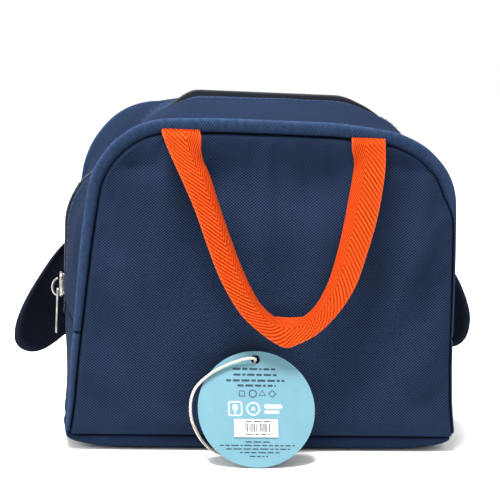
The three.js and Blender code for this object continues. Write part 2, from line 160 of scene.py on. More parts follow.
# ---- The bag's shape ----
TAPER = math.atan((BASE_HALF_WIDTH - SHOULDER_HALF_WIDTH) / SHOULDER_Z)
ARC_Z = RIM_TOP - SHOULDER_RADIUS
ARC_X = (BASE_HALF_WIDTH - (ARC_Z + SHOULDER_RADIUS * math.sin(TAPER)) * math.tan(TAPER)
         - SHOULDER_RADIUS * math.cos(TAPER))
ARC_RUN = SHOULDER_RADIUS * (math.pi / 2 - TAPER)
SIDE_RUN = (ARC_Z + SHOULDER_RADIUS * math.sin(TAPER)) / math.cos(TAPER)
HALF_RUN = ARC_X + ARC_RUN + SIDE_RUN  # from the middle of the top down to the floor

# How far inwards the soft bag lies from its CAD outline, in mm, at ways along the outline in mm from the
# middle of its top: at the panels on the left and on the right, and more at the zip.
SQUEEZE_WAYS = [0, 30, 54, 70, 90, 105, 120, 150, 205, 228, 244, 252]
LEFT_SQUEEZE = [0, 0, 0.8, 1.6, 2.4, 2.2, 1.4, 0.4, 0.2, 0.8, 0.3, 0.0]
FRONT_LEFT_SQUEEZE = [0, -1.2, -2.4, -0.4, 2.8, 3.8, 3.6, 1.0, 0.2, 0.8, 0.3, 0.0]
RIGHT_SQUEEZE = [0, 0.2, 2.6, 4.6, 4.8, 3.7, 3.0, 2.8, 3.4, 2.8, 1.0, 0.3]
ZIP_PULL_WAYS = [0, 38, 57, 72, 84, 97, 110, 120, 130, 140]
LEFT_ZIP_PULL = [0, 0, 8.8, 16.0, 20.0, 20.0, 15.5, 10.5, 3.5, 0]
RIGHT_ZIP_PULL = [0, 0, 8.0, 15.5, 18.0, 16.5, 12.5, 8.0, 2.5, 0]
ZIP_TUCK = 0.0034  # how deep the zip is tucked between the strips on the left shoulder
FOLD_TUCK = 0.0050  # and how deep the strips' edges are tucked with it further down
FRONT_PINCH = 0.075  # the lower front is this share narrower than the lower back
PINCH_FREE_Z = 0.120

SEAM_INSET_FOOT = 0.0015  # from the rim's outside to the panel's seam, at the floor
SEAM_INSET_RISE = 0.0055  # and this much more at the top
PANEL_FOOT_Z = 0.008
SEAM_FOOT_REAR = 0.0605  # the slanting seam under the zip, at the panel and at the zip
SEAM_FOOT_ZIP = 0.0690


def smoothstep(low, high, value):
    t = np.clip((value - low) / (high - low), 0, 1)
    return t * t * (3 - 2 * t)


def outline(run):
    """x, z and the outward normal of the bag's outline at a way along it from the middle of its top,
    negative on the left."""
    way = np.abs(run)
    side = np.sign(run)
    angle = np.clip(math.pi / 2 - (way - ARC_X) / SHOULDER_RADIUS, TAPER, math.pi / 2)
    beyond = np.maximum(way - ARC_X - ARC_RUN, 0)
    x = np.minimum(way, ARC_X) + SHOULDER_RADIUS * np.cos(angle) + beyond * math.sin(TAPER)
    z = ARC_Z + SHOULDER_RADIUS * np.sin(angle) - beyond * math.cos(TAPER)
    return side * x, z, side * np.cos(angle), np.sin(angle)


def run_at(z):
    """The run at a height on the straight side."""
    return HALF_RUN - z / math.cos(TAPER)


def seam_inset(z):
    return SEAM_INSET_FOOT + SEAM_INSET_RISE * (np.clip(z, 0, 0.165) / 0.165) ** 0.8


def seam_at(run):
    """The panel's seam, inwards from the rim's outside, on either side: on the right the rim is folded
    back behind the panel, so that its seam is the edge that shows."""
    _, z, _, _ = outline(run)
    folded = smoothstep(0.112, 0.130, run) * 0.88
    return seam_inset(z) * (1 - folded)


def smooth_table(ways, values, way):
    """A table's value, in metres, at ways along the outline, with the corners between its rows eased."""
    spread = (-0.004, -0.002, 0.0, 0.002, 0.004)
    rows = [np.interp((way + s) / MM, ways, values) * MM for s in spread]
    return sum(rows) / len(rows)


def both_sides(run, ways, left, right):
    share = smoothstep(-0.020, 0.020, run)
    way = np.abs(run)
    return smooth_table(ways, left, way) * (1 - share) + smooth_table(ways, right, way) * share


def squeeze(run, y):
    rear = both_sides(run, SQUEEZE_WAYS, LEFT_SQUEEZE, RIGHT_SQUEEZE)
    front = both_sides(run, SQUEEZE_WAYS, FRONT_LEFT_SQUEEZE, RIGHT_SQUEEZE)
    share = smoothstep(-0.010, 0.010, y)
    return rear * (1 - share) + front * share


def side_rise(z):
    return np.clip((z - CROWN_FOOT_Z) / (CROWN_FULL_Z - CROWN_FOOT_Z), 0, 1)


def settle(x, y, z):
    """Where a point of the flat-sided bag lies on the soft one: swollen as in CAD, and narrower at the
    lower front."""
    nearness = np.clip(1 - np.abs(y) / HALF_DEPTH, 0, 1)
    top_rise = np.maximum(0, (z - FOLD_Z) / (RIM_TOP - FOLD_Z))
    pinch = FRONT_PINCH * (1 - smoothstep(0.02, PINCH_FREE_Z, z)) * smoothstep(-0.010, HALF_DEPTH, y)
    x = x * (1 + SIDE_CROWN * nearness * side_rise(z)) * (1 - pinch)
    return np.stack([x, y + 0 * x, z + TOP_CROWN * nearness * top_rise], axis=-1)


def gusset_point(run, y, out):
    """A point of the gusset: so far along the outline, across the depth, and outwards from the outline."""
    x, z, normal_x, normal_z = outline(run)
    nearness = np.clip(1 - np.abs(y) / HALF_DEPTH, 0, 1)
    zip_share = smoothstep(0.35, 0.85, nearness)
    out = out - both_sides(run, ZIP_PULL_WAYS, LEFT_ZIP_PULL, RIGHT_ZIP_PULL) * nearness
    out = out - squeeze(run, y) * (1 - zip_share)
    tucked = smoothstep(-0.036, -0.054, run) * smoothstep(-0.122, -0.108, run)
    tucked = tucked + 0.8 * smoothstep(0.048, 0.066, run) * smoothstep(0.112, 0.096, run)
    folded = smoothstep(-0.050, -0.070, run) * smoothstep(-0.126, -0.110, run)
    out = out - ZIP_TUCK * tucked * smoothstep(0.0078, 0.0050, np.abs(y))
    out = out - FOLD_TUCK * folded * smoothstep(0.022, 0.007, np.abs(y))
    return settle(x + normal_x * out, y, z + normal_z * out)


def zip_x(z):
    """Half the width at the zip, at a height on the straight side."""
    return (BASE_HALF_WIDTH - z * math.tan(TAPER)) * (1 + SIDE_CROWN * side_rise(z))


# ---- Mesh tools ----
def grid_faces(rows, columns, wrap=False, start=0):
    """Quads of a grid of vertices stored row by row; wrap joins the last column to the first."""
    across = columns if wrap else columns - 1
    i, j = np.meshgrid(np.arange(rows - 1), np.arange(across), indexing="ij")
    k = (j + 1) % columns
    quads = np.stack([i * columns + j, i * columns + k, (i + 1) * columns + k, (i + 1) * columns + j], -1)
    return (quads.reshape(-1, 4) + start).tolist()


def tube_faces(rings, around, start=0):
    """The faces of a closed tube of rings: its sides, then a cap at either end."""
    caps = [list(range(at, at + around)) for at in (start, start + (rings - 1) * around)]
    return grid_faces(rings, around, wrap=True, start=start) + caps


def hoop_faces(rings, around):
    """The faces of a tube whose last ring meets its first."""
    quads = grid_faces(rings + 1, around, wrap=True)
    return [[v % (rings * around) for v in quad] for quad in quads]


def fan_faces(ring_start, around, middle):
    """Triangles that close a ring to the vertex in its middle."""
    return [[ring_start + i, ring_start + (i + 1) % around, middle] for i in range(around)]


def boundary_of(rows, columns):
    """Indices of a grid's border, going round once."""
    index = np.arange(rows * columns).reshape(rows, columns)
    return np.concatenate([index[0, :-1], index[:-1, -1], index[-1, :0:-1], index[:0:-1, 0]])


def band_faces(one, other):
    """Quads between two closed loops of the same number of vertices."""
    return np.stack([one, np.roll(one, -1), np.roll(other, -1), other], -1).tolist()


def unit(vectors):
    return vectors / np.linalg.norm(vectors, axis=1)[:, None]


def travel_along(points):
    """How far along a route each of its points lies."""
    return np.concatenate([[0], np.cumsum(np.linalg.norm(np.diff(points, axis=0), axis=1))])


def make_object(name, vertices, faces, cloth=None, wear=None):
    """An object from vertices and faces, with its faces turned outwards. cloth holds each vertex's place
    on the flat cloth, in metres, which the weaves follow, and the last argument its painted highlight."""
    mesh = bpy.data.meshes.new(name)
    mesh.from_pydata(np.asarray(vertices, float).reshape(-1, 3).tolist(), [], faces)
    if cloth is not None:
        flat = np.zeros((len(mesh.vertices), 3), np.float32)
        flat[:, : np.shape(cloth)[-1]] = np.asarray(cloth).reshape(len(flat), -1)
        mesh.attributes.new("cloth", "FLOAT_VECTOR", "POINT").data.foreach_set("vector", flat.ravel())
    # Each vertex's share of a painted highlight, for lit ridges and edges.
    if wear is not None:
        values = np.asarray(wear, np.float32).ravel()
        mesh.attributes.new("wear", "FLOAT", "POINT").data.foreach_set("value", values)
    work = bmesh.new()
    work.from_mesh(mesh)
    bmesh.ops.recalc_face_normals(work, faces=work.faces)
    work.to_mesh(mesh)
    work.free()
    shade(mesh, smooth=True)
    return link_object(name, mesh)


def shade(mesh, smooth):
    mesh.polygons.foreach_set("use_smooth", [smooth] * len(mesh.polygons))


def apply_modifiers(obj):
    graph = bpy.context.evaluated_depsgraph_get()
    mesh = bpy.data.meshes.new_from_object(obj.evaluated_get(graph), depsgraph=graph)
    obj.modifiers.clear()
    obj.data = mesh
    return obj


def modify(obj, kind, **settings):
    """Changes an object's mesh by one modifier, which is applied at once."""
    modifier = obj.modifiers.new(kind, kind)
    for name, value in settings.items():
        setattr(modifier, name, value)
    return apply_modifiers(obj)


def subdivide(obj):
    return modify(obj, "SUBSURF", levels=1, render_levels=1)


def thicken(obj, thickness):
    return modify(obj, "SOLIDIFY", thickness=thickness, offset=0.0, use_even_offset=True)


def bevel(obj, width, segments, angle):
    return modify(obj, "BEVEL", width=width, segments=segments, limit_method="ANGLE",
                  angle_limit=math.radians(angle))


def refine(grid, factor):
    """A smooth finer grid through the points of a coarse one, along both of its ways."""
    for axis in (0, 1):
        grid = np.moveaxis(grid, axis, 0)
        count = len(grid)
        t = np.linspace(0, count - 1, (count - 1) * factor + 1)
        i = np.minimum(t.astype(int), count - 2)
        f = (t - i).reshape(-1, *([1] * (grid.ndim - 1)))
        b, c = grid[i], grid[i + 1]
        a = np.where((i > 0).reshape(f.shape), grid[i - 1], 2 * b - c)
        d = np.where((i < count - 2).reshape(f.shape), grid[np.minimum(i + 2, count - 1)], 2 * c - b)
        grid = np.moveaxis(catmull_rom(a, b, c, d, f), 0, axis)
    return grid


def noise_at(places, scale, seed=0.0):
    """Smooth noise, about -1 to 1, at an array of places."""
    flat = np.asarray(places, float).reshape(-1, np.shape(places)[-1])
    made = [noise.noise(Vector((p[0] * scale + seed, p[1] * scale - seed,
                                (p[2] if len(p) > 2 else 0) * scale + 2 * seed))) for p in flat]
    return np.array(made).reshape(np.shape(places)[:-1])


def finish_piece(obj, material, body=None, replaces=(), bends=0):
    """Gives a piece its material, the body it rides on and the CAD nodes it stands for. A piece that bends
    with a half gets its transform baked into its mesh; bends is the way that half faces."""
    obj.data.materials.clear()
    obj.data.materials.append(material)
    if body:
        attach(obj, body)
    if replaces:
        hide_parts(*replaces)
    if bends:
        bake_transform(obj)
    return obj


# ---- Materials ----
def linear(red, green, blue):
    """A colour given in sRGB from 0 to 255, as the shader wants it."""
    def one(c):
        c /= 255
        return c / 12.92 if c <= 0.04045 else ((c + 0.055) / 1.055) ** 2.4
    return (one(red), one(green), one(blue), 1)


class Graph:
    """A material's nodes. Every call that makes a node gives back its first output."""

    def __init__(self, name, roughness=0.85, metallic=0.0, specular=0.3, sheen=0.0):
        self.material = bpy.data.materials.new(name)
        self.material.use_nodes = True
        self.tree = self.material.node_tree
        self.shader = self.tree.nodes["Principled BSDF"]
        self.set(Roughness=roughness, Metallic=metallic)
        self.shader.inputs["Specular IOR Level"].default_value = specular
        self.shader.inputs["Sheen Weight"].default_value = sheen
        self.shader.inputs["Sheen Roughness"].default_value = 0.5

    def set(self, **inputs):
        for name, value in inputs.items():
            self.plug(self.shader.inputs[name.replace("_", " ")], value)

    def plug(self, socket, value):
        if isinstance(value, bpy.types.NodeSocket):
            self.tree.links.new(value, socket)
        else:
            socket.default_value = value

    def node(self, kind, inputs, **settings):
        made = self.tree.nodes.new(kind)
        for name, value in settings.items():
            setattr(made, name, value)
        for key, value in inputs.items():
            self.plug(made.inputs[key], value)
        return made

    def math(self, operation, *values):
        return self.node("ShaderNodeMath", dict(enumerate(values)), operation=operation).outputs[0]

    def attribute(self, name, part="Vector"):
        return self.node("ShaderNodeAttribute", {}, attribute_name=name).outputs[part]

    def parts(self, vector):
        return self.node("ShaderNodeSeparateXYZ", {0: vector}).outputs

    # The painted highlight stored on the mesh, times a share.
    def wear(self, share):
        return self.math("MULTIPLY", self.attribute("wear", "Fac"), share)

    def place(self):
        return self.node("ShaderNodeTexCoord", {}).outputs["Object"]

    def noise(self, vector, scale, detail=2.0):
        inputs = {"Vector": vector, "Scale": scale, "Detail": detail}
        return self.node("ShaderNodeTexNoise", inputs).outputs["Fac"]

    def spread(self, value, low, high, to_low=0.0, to_high=1.0):
        inputs = {"Value": value, "From Min": low, "From Max": high, "To Min": to_low, "To Max": to_high}
        return self.node("ShaderNodeMapRange", inputs).outputs[0]

    def mix(self, factor, a, b, blend="MIX"):
        made = self.node("ShaderNodeMix", {0: factor, 6: a, 7: b}, data_type="RGBA", blend_type=blend)
        return made.outputs[2]

    def wave(self, value, period, shift=0.0):
        turned = self.math("MULTIPLY_ADD", value, 2 * math.pi / period, shift)
        return self.math("COSINE", turned)

    def bump(self, height, distance, strength=1.0):
        inputs = {"Height": height, "Distance": distance, "Strength": strength}
        self.set(Normal=self.node("ShaderNodeBump", inputs).outputs[0])


def woven_cloth(name, dark, light, pitch, depth, highlight_colour):
    """A textured polyester: staggered raised dots in rows, finer threads in them, uneven dye, and a painted
    highlight, in patches, on lit ridges and edges."""
    g = Graph(name, specular=0.03)
    cloth = g.attribute("cloth")
    u, v, _ = g.parts(cloth)
    dots = g.math("MULTIPLY", g.wave(u, 2 * pitch[0]), g.wave(v, 2 * pitch[1]))
    threads = g.math("MULTIPLY", g.wave(u, pitch[0] / 3), 0.16)
    fibres = g.noise(cloth, 2600, 3)
    height = g.math("ADD", g.math("ADD", dots, threads), g.math("MULTIPLY", fibres, 0.9))
    raised = g.spread(height, -0.35, 1.35)
    cover = g.mix(raised, dark, light)
    dye = g.spread(g.noise(g.place(), 26, 3), 0.3, 0.7, 0.86, 1.12)
    flecks = g.spread(g.noise(cloth, 900, 2), 0.3, 0.7, 0.93, 1.06)
    shade = g.math("MULTIPLY", dye, flecks)
    grey = g.node("ShaderNodeCombineColor", {0: shade, 1: shade, 2: shade}).outputs[0]
    cover = g.mix(1.0, cover, grey, "MULTIPLY")
    # Painted highlight: the cloth is lightened, in patches, where the mesh marks a lit ridge or edge.
    patches = g.spread(g.noise(cloth, 420, 4), 0.25, 0.75, 0.35, 1.0)
    g.set(Base_Color=g.mix(g.wear(patches), cover, highlight_colour), Roughness=g.spread(raised, 0, 1, 0.93, 0.75))
    g.bump(height, depth, 0.8)
    return g.material


def herringbone_webbing():
    """Orange twill tape: ribs that slant both ways from a line along the band, each rib a row of stitches."""
    g = Graph("orange_webbing", 0.85, specular=0.03)
    cloth = g.attribute("cloth")
    across, along, _ = g.parts(cloth)
    apex_shift = g.math("MULTIPLY", g.noise(cloth, 60, 1), 0.0006)
    from_apex = g.math("ADD", across, apex_shift)
    sideways = g.math("MAXIMUM", g.math("MULTIPLY", from_apex, 2.3), g.math("MULTIPLY", from_apex, -1.0))
    sway = g.math("MULTIPLY_ADD", g.noise(cloth, 420, 2), 0.0009, along)
    slant = g.math("ADD", sideways, sway)
    rib = g.wave(slant, 0.0027)
    stitch = g.wave(g.math("MULTIPLY_ADD", sideways, -0.9, along), 0.0012)
    fibres = g.noise(cloth, 3000, 3)
    height = g.math("ADD", g.math("MULTIPLY", rib, 0.62), g.math("MULTIPLY", stitch, 0.34))
    height = g.math("ADD", height, g.math("MULTIPLY_ADD", fibres, 1.3, -0.65))
    raised = g.spread(height, -0.7, 0.75)
    cover = g.mix(raised, linear(98, 11, 1), linear(212, 80, 24))
    patch = g.spread(g.noise(cloth, 90, 3), 0.3, 0.7, 0.0, 0.35)
    cover = g.mix(patch, cover, linear(180, 46, 9))
    # Painted highlight along the band's edges, broken up by fine noise like fuzz.
    edge_highlight = g.wear(g.spread(g.noise(cloth, 1500, 3), 0.35, 0.7, 0.1, 0.9))
    g.set(Base_Color=g.mix(edge_highlight, cover, linear(204, 96, 52)))
    g.bump(height, 0.0004, 0.9)
    return g.material


def smooth_cloth(name, dark, light):
    """A close, nearly black knit with a soft nap, and a painted highlight along its edge."""
    g = Graph(name, 0.9, specular=0.04)
    cloth = g.attribute("cloth")
    u, v, _ = g.parts(cloth)
    knit = g.math("MULTIPLY", g.wave(u, 0.0009), g.wave(v, 0.0012))
    nap = g.noise(cloth, 1800, 4)
    height = g.math("MULTIPLY_ADD", nap, 1.2, knit)
    tone = g.spread(g.noise(g.place(), 45, 4), 0.3, 0.7)
    cover = g.mix(g.math("MULTIPLY", g.spread(height, -0.4, 1.8), tone), dark, light)
    # Painted highlight where the mesh marks the leaf's edge.
    g.set(Base_Color=g.mix(g.wear(0.5), cover, linear(30, 36, 50)))
    g.bump(height, 0.00008, 0.6)
    return g.material


def tape_cloth():
    g = Graph("zip_tape_cloth", 0.85, specular=0.06)
    cloth = g.attribute("cloth")
    u, v, _ = g.parts(cloth)
    ribs = g.math("ADD", g.wave(u, 0.0007), g.math("MULTIPLY", g.wave(v, 0.0005), 0.5))
    cover = g.mix(g.spread(ribs, -1.2, 1.2), linear(4, 5, 9), linear(11, 14, 22))
    g.set(Base_Color=g.mix(g.spread(g.noise(cloth, 500, 3), 0.4, 0.8, 0, 0.4), cover, linear(17, 21, 31)))
    g.bump(ribs, 0.0001, 0.7)
    return g.material


def coil_plastic():
    g = Graph("black_nylon_coil", 0.5, specular=0.2)
    grain = g.noise(g.place(), 900, 3)
    g.set(Base_Color=g.mix(grain, linear(4, 4, 7), linear(13, 15, 21)))
    g.set(Roughness=g.spread(grain, 0.3, 0.7, 0.34, 0.55))
    g.bump(grain, 0.00004, 0.4)
    return g.material


def plated_metal():
    """Satin nickel: fine brushing along the piece and dull patches."""
    g = Graph("satin_nickel", 0.32, metallic=1.0, specular=0.5)
    place = g.place()
    stretched = g.node("ShaderNodeMapping", {"Vector": place, "Scale": (1.0, 1.0, 0.08)}).outputs[0]
    brushed = g.noise(stretched, 3500, 2)
    patches = g.noise(place, 260, 3)
    cover = g.mix(g.spread(patches, 0.35, 0.7), linear(158, 157, 152), linear(108, 107, 103))
    g.set(Base_Color=cover, Roughness=g.spread(brushed, 0.25, 0.75, 0.24, 0.46))
    g.bump(brushed, 0.00002, 0.5)
    return g.material


def lining_foil():
    """A silver film heat-pressed on foam: small diamond quilting and soft creases."""
    g = Graph("lining_foil", 0.38, metallic=0.55, specular=0.5)
    cloth = g.attribute("cloth")
    u, v, _ = g.parts(cloth)
    quilt = g.math("MULTIPLY", g.wave(g.math("ADD", u, v), 0.007), g.wave(g.math("SUBTRACT", u, v), 0.007))
    creases = g.noise(g.place(), 90, 5)
    g.set(Base_Color=g.mix(creases, linear(168, 172, 177), linear(222, 224, 226)))
    g.set(Roughness=g.spread(creases, 0.3, 0.7, 0.3, 0.52))
    g.bump(g.math("MULTIPLY_ADD", creases, 1.6, quilt), 0.0006, 0.6)
    return g.material


def printed_card():
    g = Graph("pale_blue_card", 0.5, specular=0.35)
    place = g.place()
    fibres = g.noise(place, 1400, 4)
    cloud = g.noise(place, 70, 2)
    ink = g.mix(g.spread(cloud, 0.3, 0.7), linear(76, 113, 125), linear(81, 118, 129))
    g.set(Base_Color=g.mix(g.spread(fibres, 0.55, 0.85, 0, 0.25), ink, linear(100, 134, 144)))
    g.set(Roughness=g.spread(fibres, 0.3, 0.7, 0.42, 0.6))
    g.bump(fibres, 0.00003, 0.5)
    return g.material


def ink(name, colour, paper, roughness=0.5):
    """Printing ink or paper: a little uneven, over the grain of the card."""
    g = Graph(name, roughness, specular=0.3)
    grain = g.noise(g.place(), 2200, 3)
    g.set(Base_Color=g.mix(g.spread(grain, 0.45, 0.8, 0, 0.35), colour, paper))
    g.set(Roughness=g.spread(grain, 0.3, 0.7, roughness - 0.06, roughness + 0.1))
    g.bump(grain, 0.00002, 0.4)
    return g.material


def twisted_cotton():
    g = Graph("cotton_string", 0.9, sheen=0.4, specular=0.15)
    place = g.place()
    x, y, z = g.parts(place)
    twist = g.wave(g.math("ADD", g.math("MULTIPLY_ADD", y, 1.4, x), z), 0.0017)
    fibres = g.noise(place, 3800, 3)
    height = g.math("MULTIPLY_ADD", fibres, 0.8, twist)
    g.set(Base_Color=g.mix(g.spread(height, -0.7, 1.3), linear(138, 132, 114), linear(196, 192, 180)))
    g.bump(height, 0.00015, 0.9)
    return g.material


def sewing_thread(name, dark, light):
    g = Graph(name, 0.75, sheen=0.05, specular=0.1)
    place = g.place()
    x, y, z = g.parts(place)
    ply = g.wave(g.math("ADD", g.math("ADD", x, y), z), 0.0005)
    g.set(Base_Color=g.mix(g.spread(ply, -1, 1), dark, light))
    g.bump(ply, 0.00005, 0.8)
    return g.material


def pale_floor():
    g = Graph("floor_paper", 0.9, specular=0.1)
    g.set(Base_Color=g.mix(g.noise(g.place(), 3, 2), (0.86, 0.86, 0.865, 1), (0.88, 0.88, 0.88, 1)))
    return g.material


# The last colour of each cloth is its painted highlight on lit ridges and edges.
PANEL_CLOTH = woven_cloth("panel_cloth", linear(3, 8, 19), linear(38, 51, 76), (0.00088, 0.00072), 0.0003,
                          linear(36, 50, 76))
GUSSET_CLOTH = woven_cloth("gusset_cloth", linear(8, 15, 30), linear(28, 41, 64), (0.0008, 0.0007), 0.00016,
                           linear(46, 63, 91))
FLAP_CLOTH = smooth_cloth("flap_cloth", linear(3, 5, 11), linear(11, 14, 24))
WEBBING = herringbone_webbing()
TAPE = tape_cloth()
COIL = coil_plastic()
METAL = plated_metal()
FOIL = lining_foil()
CARD = printed_card()
STRING = twisted_cotton()
BLUE_THREAD = sewing_thread("blue_thread", linear(30, 43, 68), linear(70, 88, 118))
DARK_INK = ink("dark_ink", linear(18, 38, 50), linear(58, 92, 106))
WHITE_INK = ink("white_ink", linear(168, 178, 181), linear(136, 163, 170))
PAPER = ink("sticker_paper", linear(178, 180, 180), linear(166, 168, 168), 0.45)
BLACK_INK = ink("black_ink", linear(14, 15, 18), linear(44, 46, 49))


# ---- Padded panels ----
PANEL_COLUMNS = 41
PANEL_ROWS = 35
PANEL_REFINE = 4
PANEL_EDGE_Z = PANEL_FOOT_Z + 0.0012
PANEL_CENTRE = np.array([0, 0.09])
SHEET_FRAMES = 24
PANEL_Y = 0.0436
MID_SHOULDER = ARC_X + ARC_RUN / 2
BULGE_LIMIT = 0.0028
# The panel's edge rolls under into the seam: outwards in its plane, and inwards from its face.
PANEL_ROLL = [(0.0006, 0.0003), (0.0009, 0.0010), (0.0009, 0.0022), (0.0004, 0.0036), (-0.0010, 0.0050)]

# The panel's flat back is made of rings that shrink to its middle.
PANEL_BACK_SHARES = np.linspace(0.94, 0.06, 14)


def arch_patch(inset_of, foot_z, rows, columns, facing):
    """x and z of a grid that fills the arch: its sides run up to the middle of the shoulders. inset_of
    gives how far it stays inside the squeezed outline at a run."""
    def edge(run):
        x, z, normal_x, normal_z = outline(run)
        inset = inset_of(run) + squeeze(run, facing * HALF_DEPTH)
        return np.stack([x - normal_x * inset, z - normal_z * inset], -1)

    u = np.linspace(0, 1, columns)[None, :, None]
    v = np.linspace(0, 1, rows)[:, None, None]
    climb = run_at(foot_z) - (run_at(foot_z) - MID_SHOULDER) * v[:, 0, 0]
    left, right = edge(-climb)[:, None], edge(climb)[:, None]
    top = edge(MID_SHOULDER * (2 * u[0, :, 0] - 1))[None]
    bottom = left[:1] * (1 - u) + right[:1] * u
    corners = ((1 - u) * (1 - v) * left[:1] + u * (1 - v) * right[:1]
               + (1 - u) * v * left[-1:] + u * v * right[-1:])
    return (1 - v) * bottom + v * top + (1 - u) * left + u * right - corners


SHEET_SETTINGS = {
    "quality": 6, "mass": 0.25, "tension_stiffness": 12, "compression_stiffness": 12, "bending_stiffness": 3,
    "shrink_min": -0.012, "use_pressure": True, "uniform_pressure_force": 0.35,
}


def swell_panel(patch):
    """How far the panel's cloth moves out of its plane: a cloth simulation of a slack sheet sewn down
    along its edge, with the padding pressing from behind. Positive is outwards."""
    rows, columns = patch.shape[:2]
    flat = np.stack([patch[..., 0], 0 * patch[..., 0], patch[..., 1]], -1)
    sheet = make_object("panel_simulation", flat, grid_faces(rows, columns))
    if sum(p.normal.y for p in sheet.data.polygons) > 0:
        sheet.data.flip_normals()
    pins = sheet.vertex_groups.new(name="pins")
    pins.add(np.sort(boundary_of(rows, columns)).tolist(), 1.0, "REPLACE")
    cloth = sheet.modifiers.new("cloth", "CLOTH")
    cloth.settings.vertex_group_mass = "pins"
    for name, value in SHEET_SETTINGS.items():
        setattr(cloth.settings, name, value)
    cloth.settings.effector_weights.gravity = 0.6
    cloth.point_cache.frame_end = SHEET_FRAMES
    for step in range(1, SHEET_FRAMES + 1):
        bpy.context.scene.frame_set(step)
    apply_modifiers(sheet)
    moved = np.array([v.co for v in sheet.data.vertices]).reshape(rows, columns, 3)
    bpy.data.objects.remove(sheet)
    bpy.context.scene.frame_set(1)
    bulge = -moved[..., 1]
    return BULGE_LIMIT * np.tanh(bulge / BULGE_LIMIT)


# Soft dents beside the handles' ends and under the top seam: x, z, half widths, depth, all in mm.
PANEL_DENTS = [
    (-67, 150, 8, 8, 2.8), (-31, 146, 8, 11, 4.2), (-85, 148, 13, 3.2, 2.6), (-74, 140, 10, 4, -1.0),
    (25, 146, 7.5, 11, 4.0), (64, 154, 12, 4.5, 2.6), (72, 143, 9, 5, -0.9), (-3, 142, 20, 12, 3.2),
    (-34, 124, 8, 9, -0.9), (0, 116, 22, 9, -1.0), (4, 96, 15, 24, -0.8), (-74, 96, 9, 34, -0.9),
    (76, 100, 10, 34, -0.9), (-50, 82, 12, 22, 1.5), (50, 74, 14, 24, 1.4), (-88, 30, 8, 24, 0.8),
    (66, 30, 24, 7, 0.9), (-60, 22, 24, 6, 0.8),
]


def dent(x, z, facing):
    """How far the panel is pressed in at a point, besides its swelling."""
    total = 0 * x
    for at_x, at_z, half_x, half_z, depth in PANEL_DENTS:
        across = (x * -facing - at_x * MM) / (half_x * MM)
        total = total + depth * MM * np.exp(-0.5 * (across**2 + ((z - at_z * MM) / (half_z * MM)) ** 2))
    return total


def panel_patch(facing):
    return arch_patch(lambda run: seam_at(run) + 0.0015, PANEL_EDGE_Z, PANEL_ROWS, PANEL_COLUMNS, facing)


def from_ends(count):
    """A ramp up from both ends of a row, full at an eighth of its length."""
    t = np.linspace(0, 1, count)
    return np.minimum(t, 1 - t) * 8


def add_panel(facing, bulge):
    """One padded panel: its swollen face, the edge that rolls into the seam, and its flat back."""
    fine = refine(panel_patch(facing), PANEL_REFINE)
    x, z = fine[..., 0], fine[..., 1]
    rows, columns = x.shape
    free = smoothstep(0, 1, np.minimum(from_ends(rows)[:, None], from_ends(columns)[None]))
    texture = noise_at(fine, 38, 3.1 + facing) * 0.0005
    out = PANEL_Y + refine(bulge, PANEL_REFINE) + free * (texture - dent(x, z, facing))
    vertices = [settle(x, facing * out, z).reshape(-1, 3)]
    cloth = [fine.reshape(-1, 2)]
    border = boundary_of(rows, columns)
    edge = cloth[0][border]
    tangent = np.roll(edge, -1, 0) - np.roll(edge, 1, 0)
    normal = unit(np.stack([tangent[:, 1], -tangent[:, 0]], -1))
    rings = [(edge + normal * grow, deep) for grow, deep in PANEL_ROLL]
    back_edge, back_deep = rings[-1]
    rings += [(PANEL_CENTRE + (back_edge - PANEL_CENTRE) * share, back_deep) for share in PANEL_BACK_SHARES]
    faces = grid_faces(rows, columns)
    previous = border
    start = rows * columns
    for ring, deep in rings:
        vertices.append(settle(ring[:, 0], facing * (PANEL_Y - deep), ring[:, 1]))
        cloth.append(ring + normal * deep)
        here = start + np.arange(len(border))
        faces += band_faces(previous, here)
        previous = here
        start += len(border)
    vertices.append(settle(PANEL_CENTRE[:1], facing * (PANEL_Y - back_deep), PANEL_CENTRE[1:]))
    cloth.append(PANEL_CENTRE[None])
    faces += fan_faces(start - len(border), len(border), start)
    vertices = np.concatenate(vertices)
    wear = np.zeros(len(vertices))
    # A faint painted highlight along the panel's border, where it rolls into the seam.
    wear[border] = 0.12
    half = HALVES[facing]
    panel = make_object(f"{half}_panel", vertices, faces, np.concatenate(cloth), wear)
    finish_piece(panel, PANEL_CLOTH, bends=facing,
                 replaces=[f"{half}_panel_upper", f"{half}_panel_lower",
                           f"{half}_foam_panel_upper", f"{half}_foam_panel_lower"])


simulated_patch = panel_patch(-1)
panel_bulge = swell_panel(simulated_patch)
for way_faced in HALVES:
    add_panel(way_faced, panel_bulge)


# ---- Gusset: two strips over the top, two sides below the slanting seams, and the base ----
def gusset_ripple(run, y):
    """Soft folds of the gusset: along it on the shoulders, and down the left side."""
    places = np.stack([run * 0.5, y * 1.3 + 0 * run], -1)
    ripple = noise_at(places, 55, 1.7) * 0.0009 + noise_at(places, 130, 4.4) * 0.00035
    way = -run  # positive on the left
    for middle, half_run, at_y, half_y, height in (
        (0.148, 0.018, -0.030, 0.005, 1.5), (0.165, 0.014, -0.017, 0.0045, 1.3),
        (0.128, 0.016, -0.020, 0.006, -1.2), (0.182, 0.010, -0.026, 0.005, -0.9),
    ):
        bump = np.exp(-0.5 * (((way - middle) / half_run) ** 2 + ((y - at_y) / half_y) ** 2))
        ripple = ripple + height * MM * bump
    return ripple


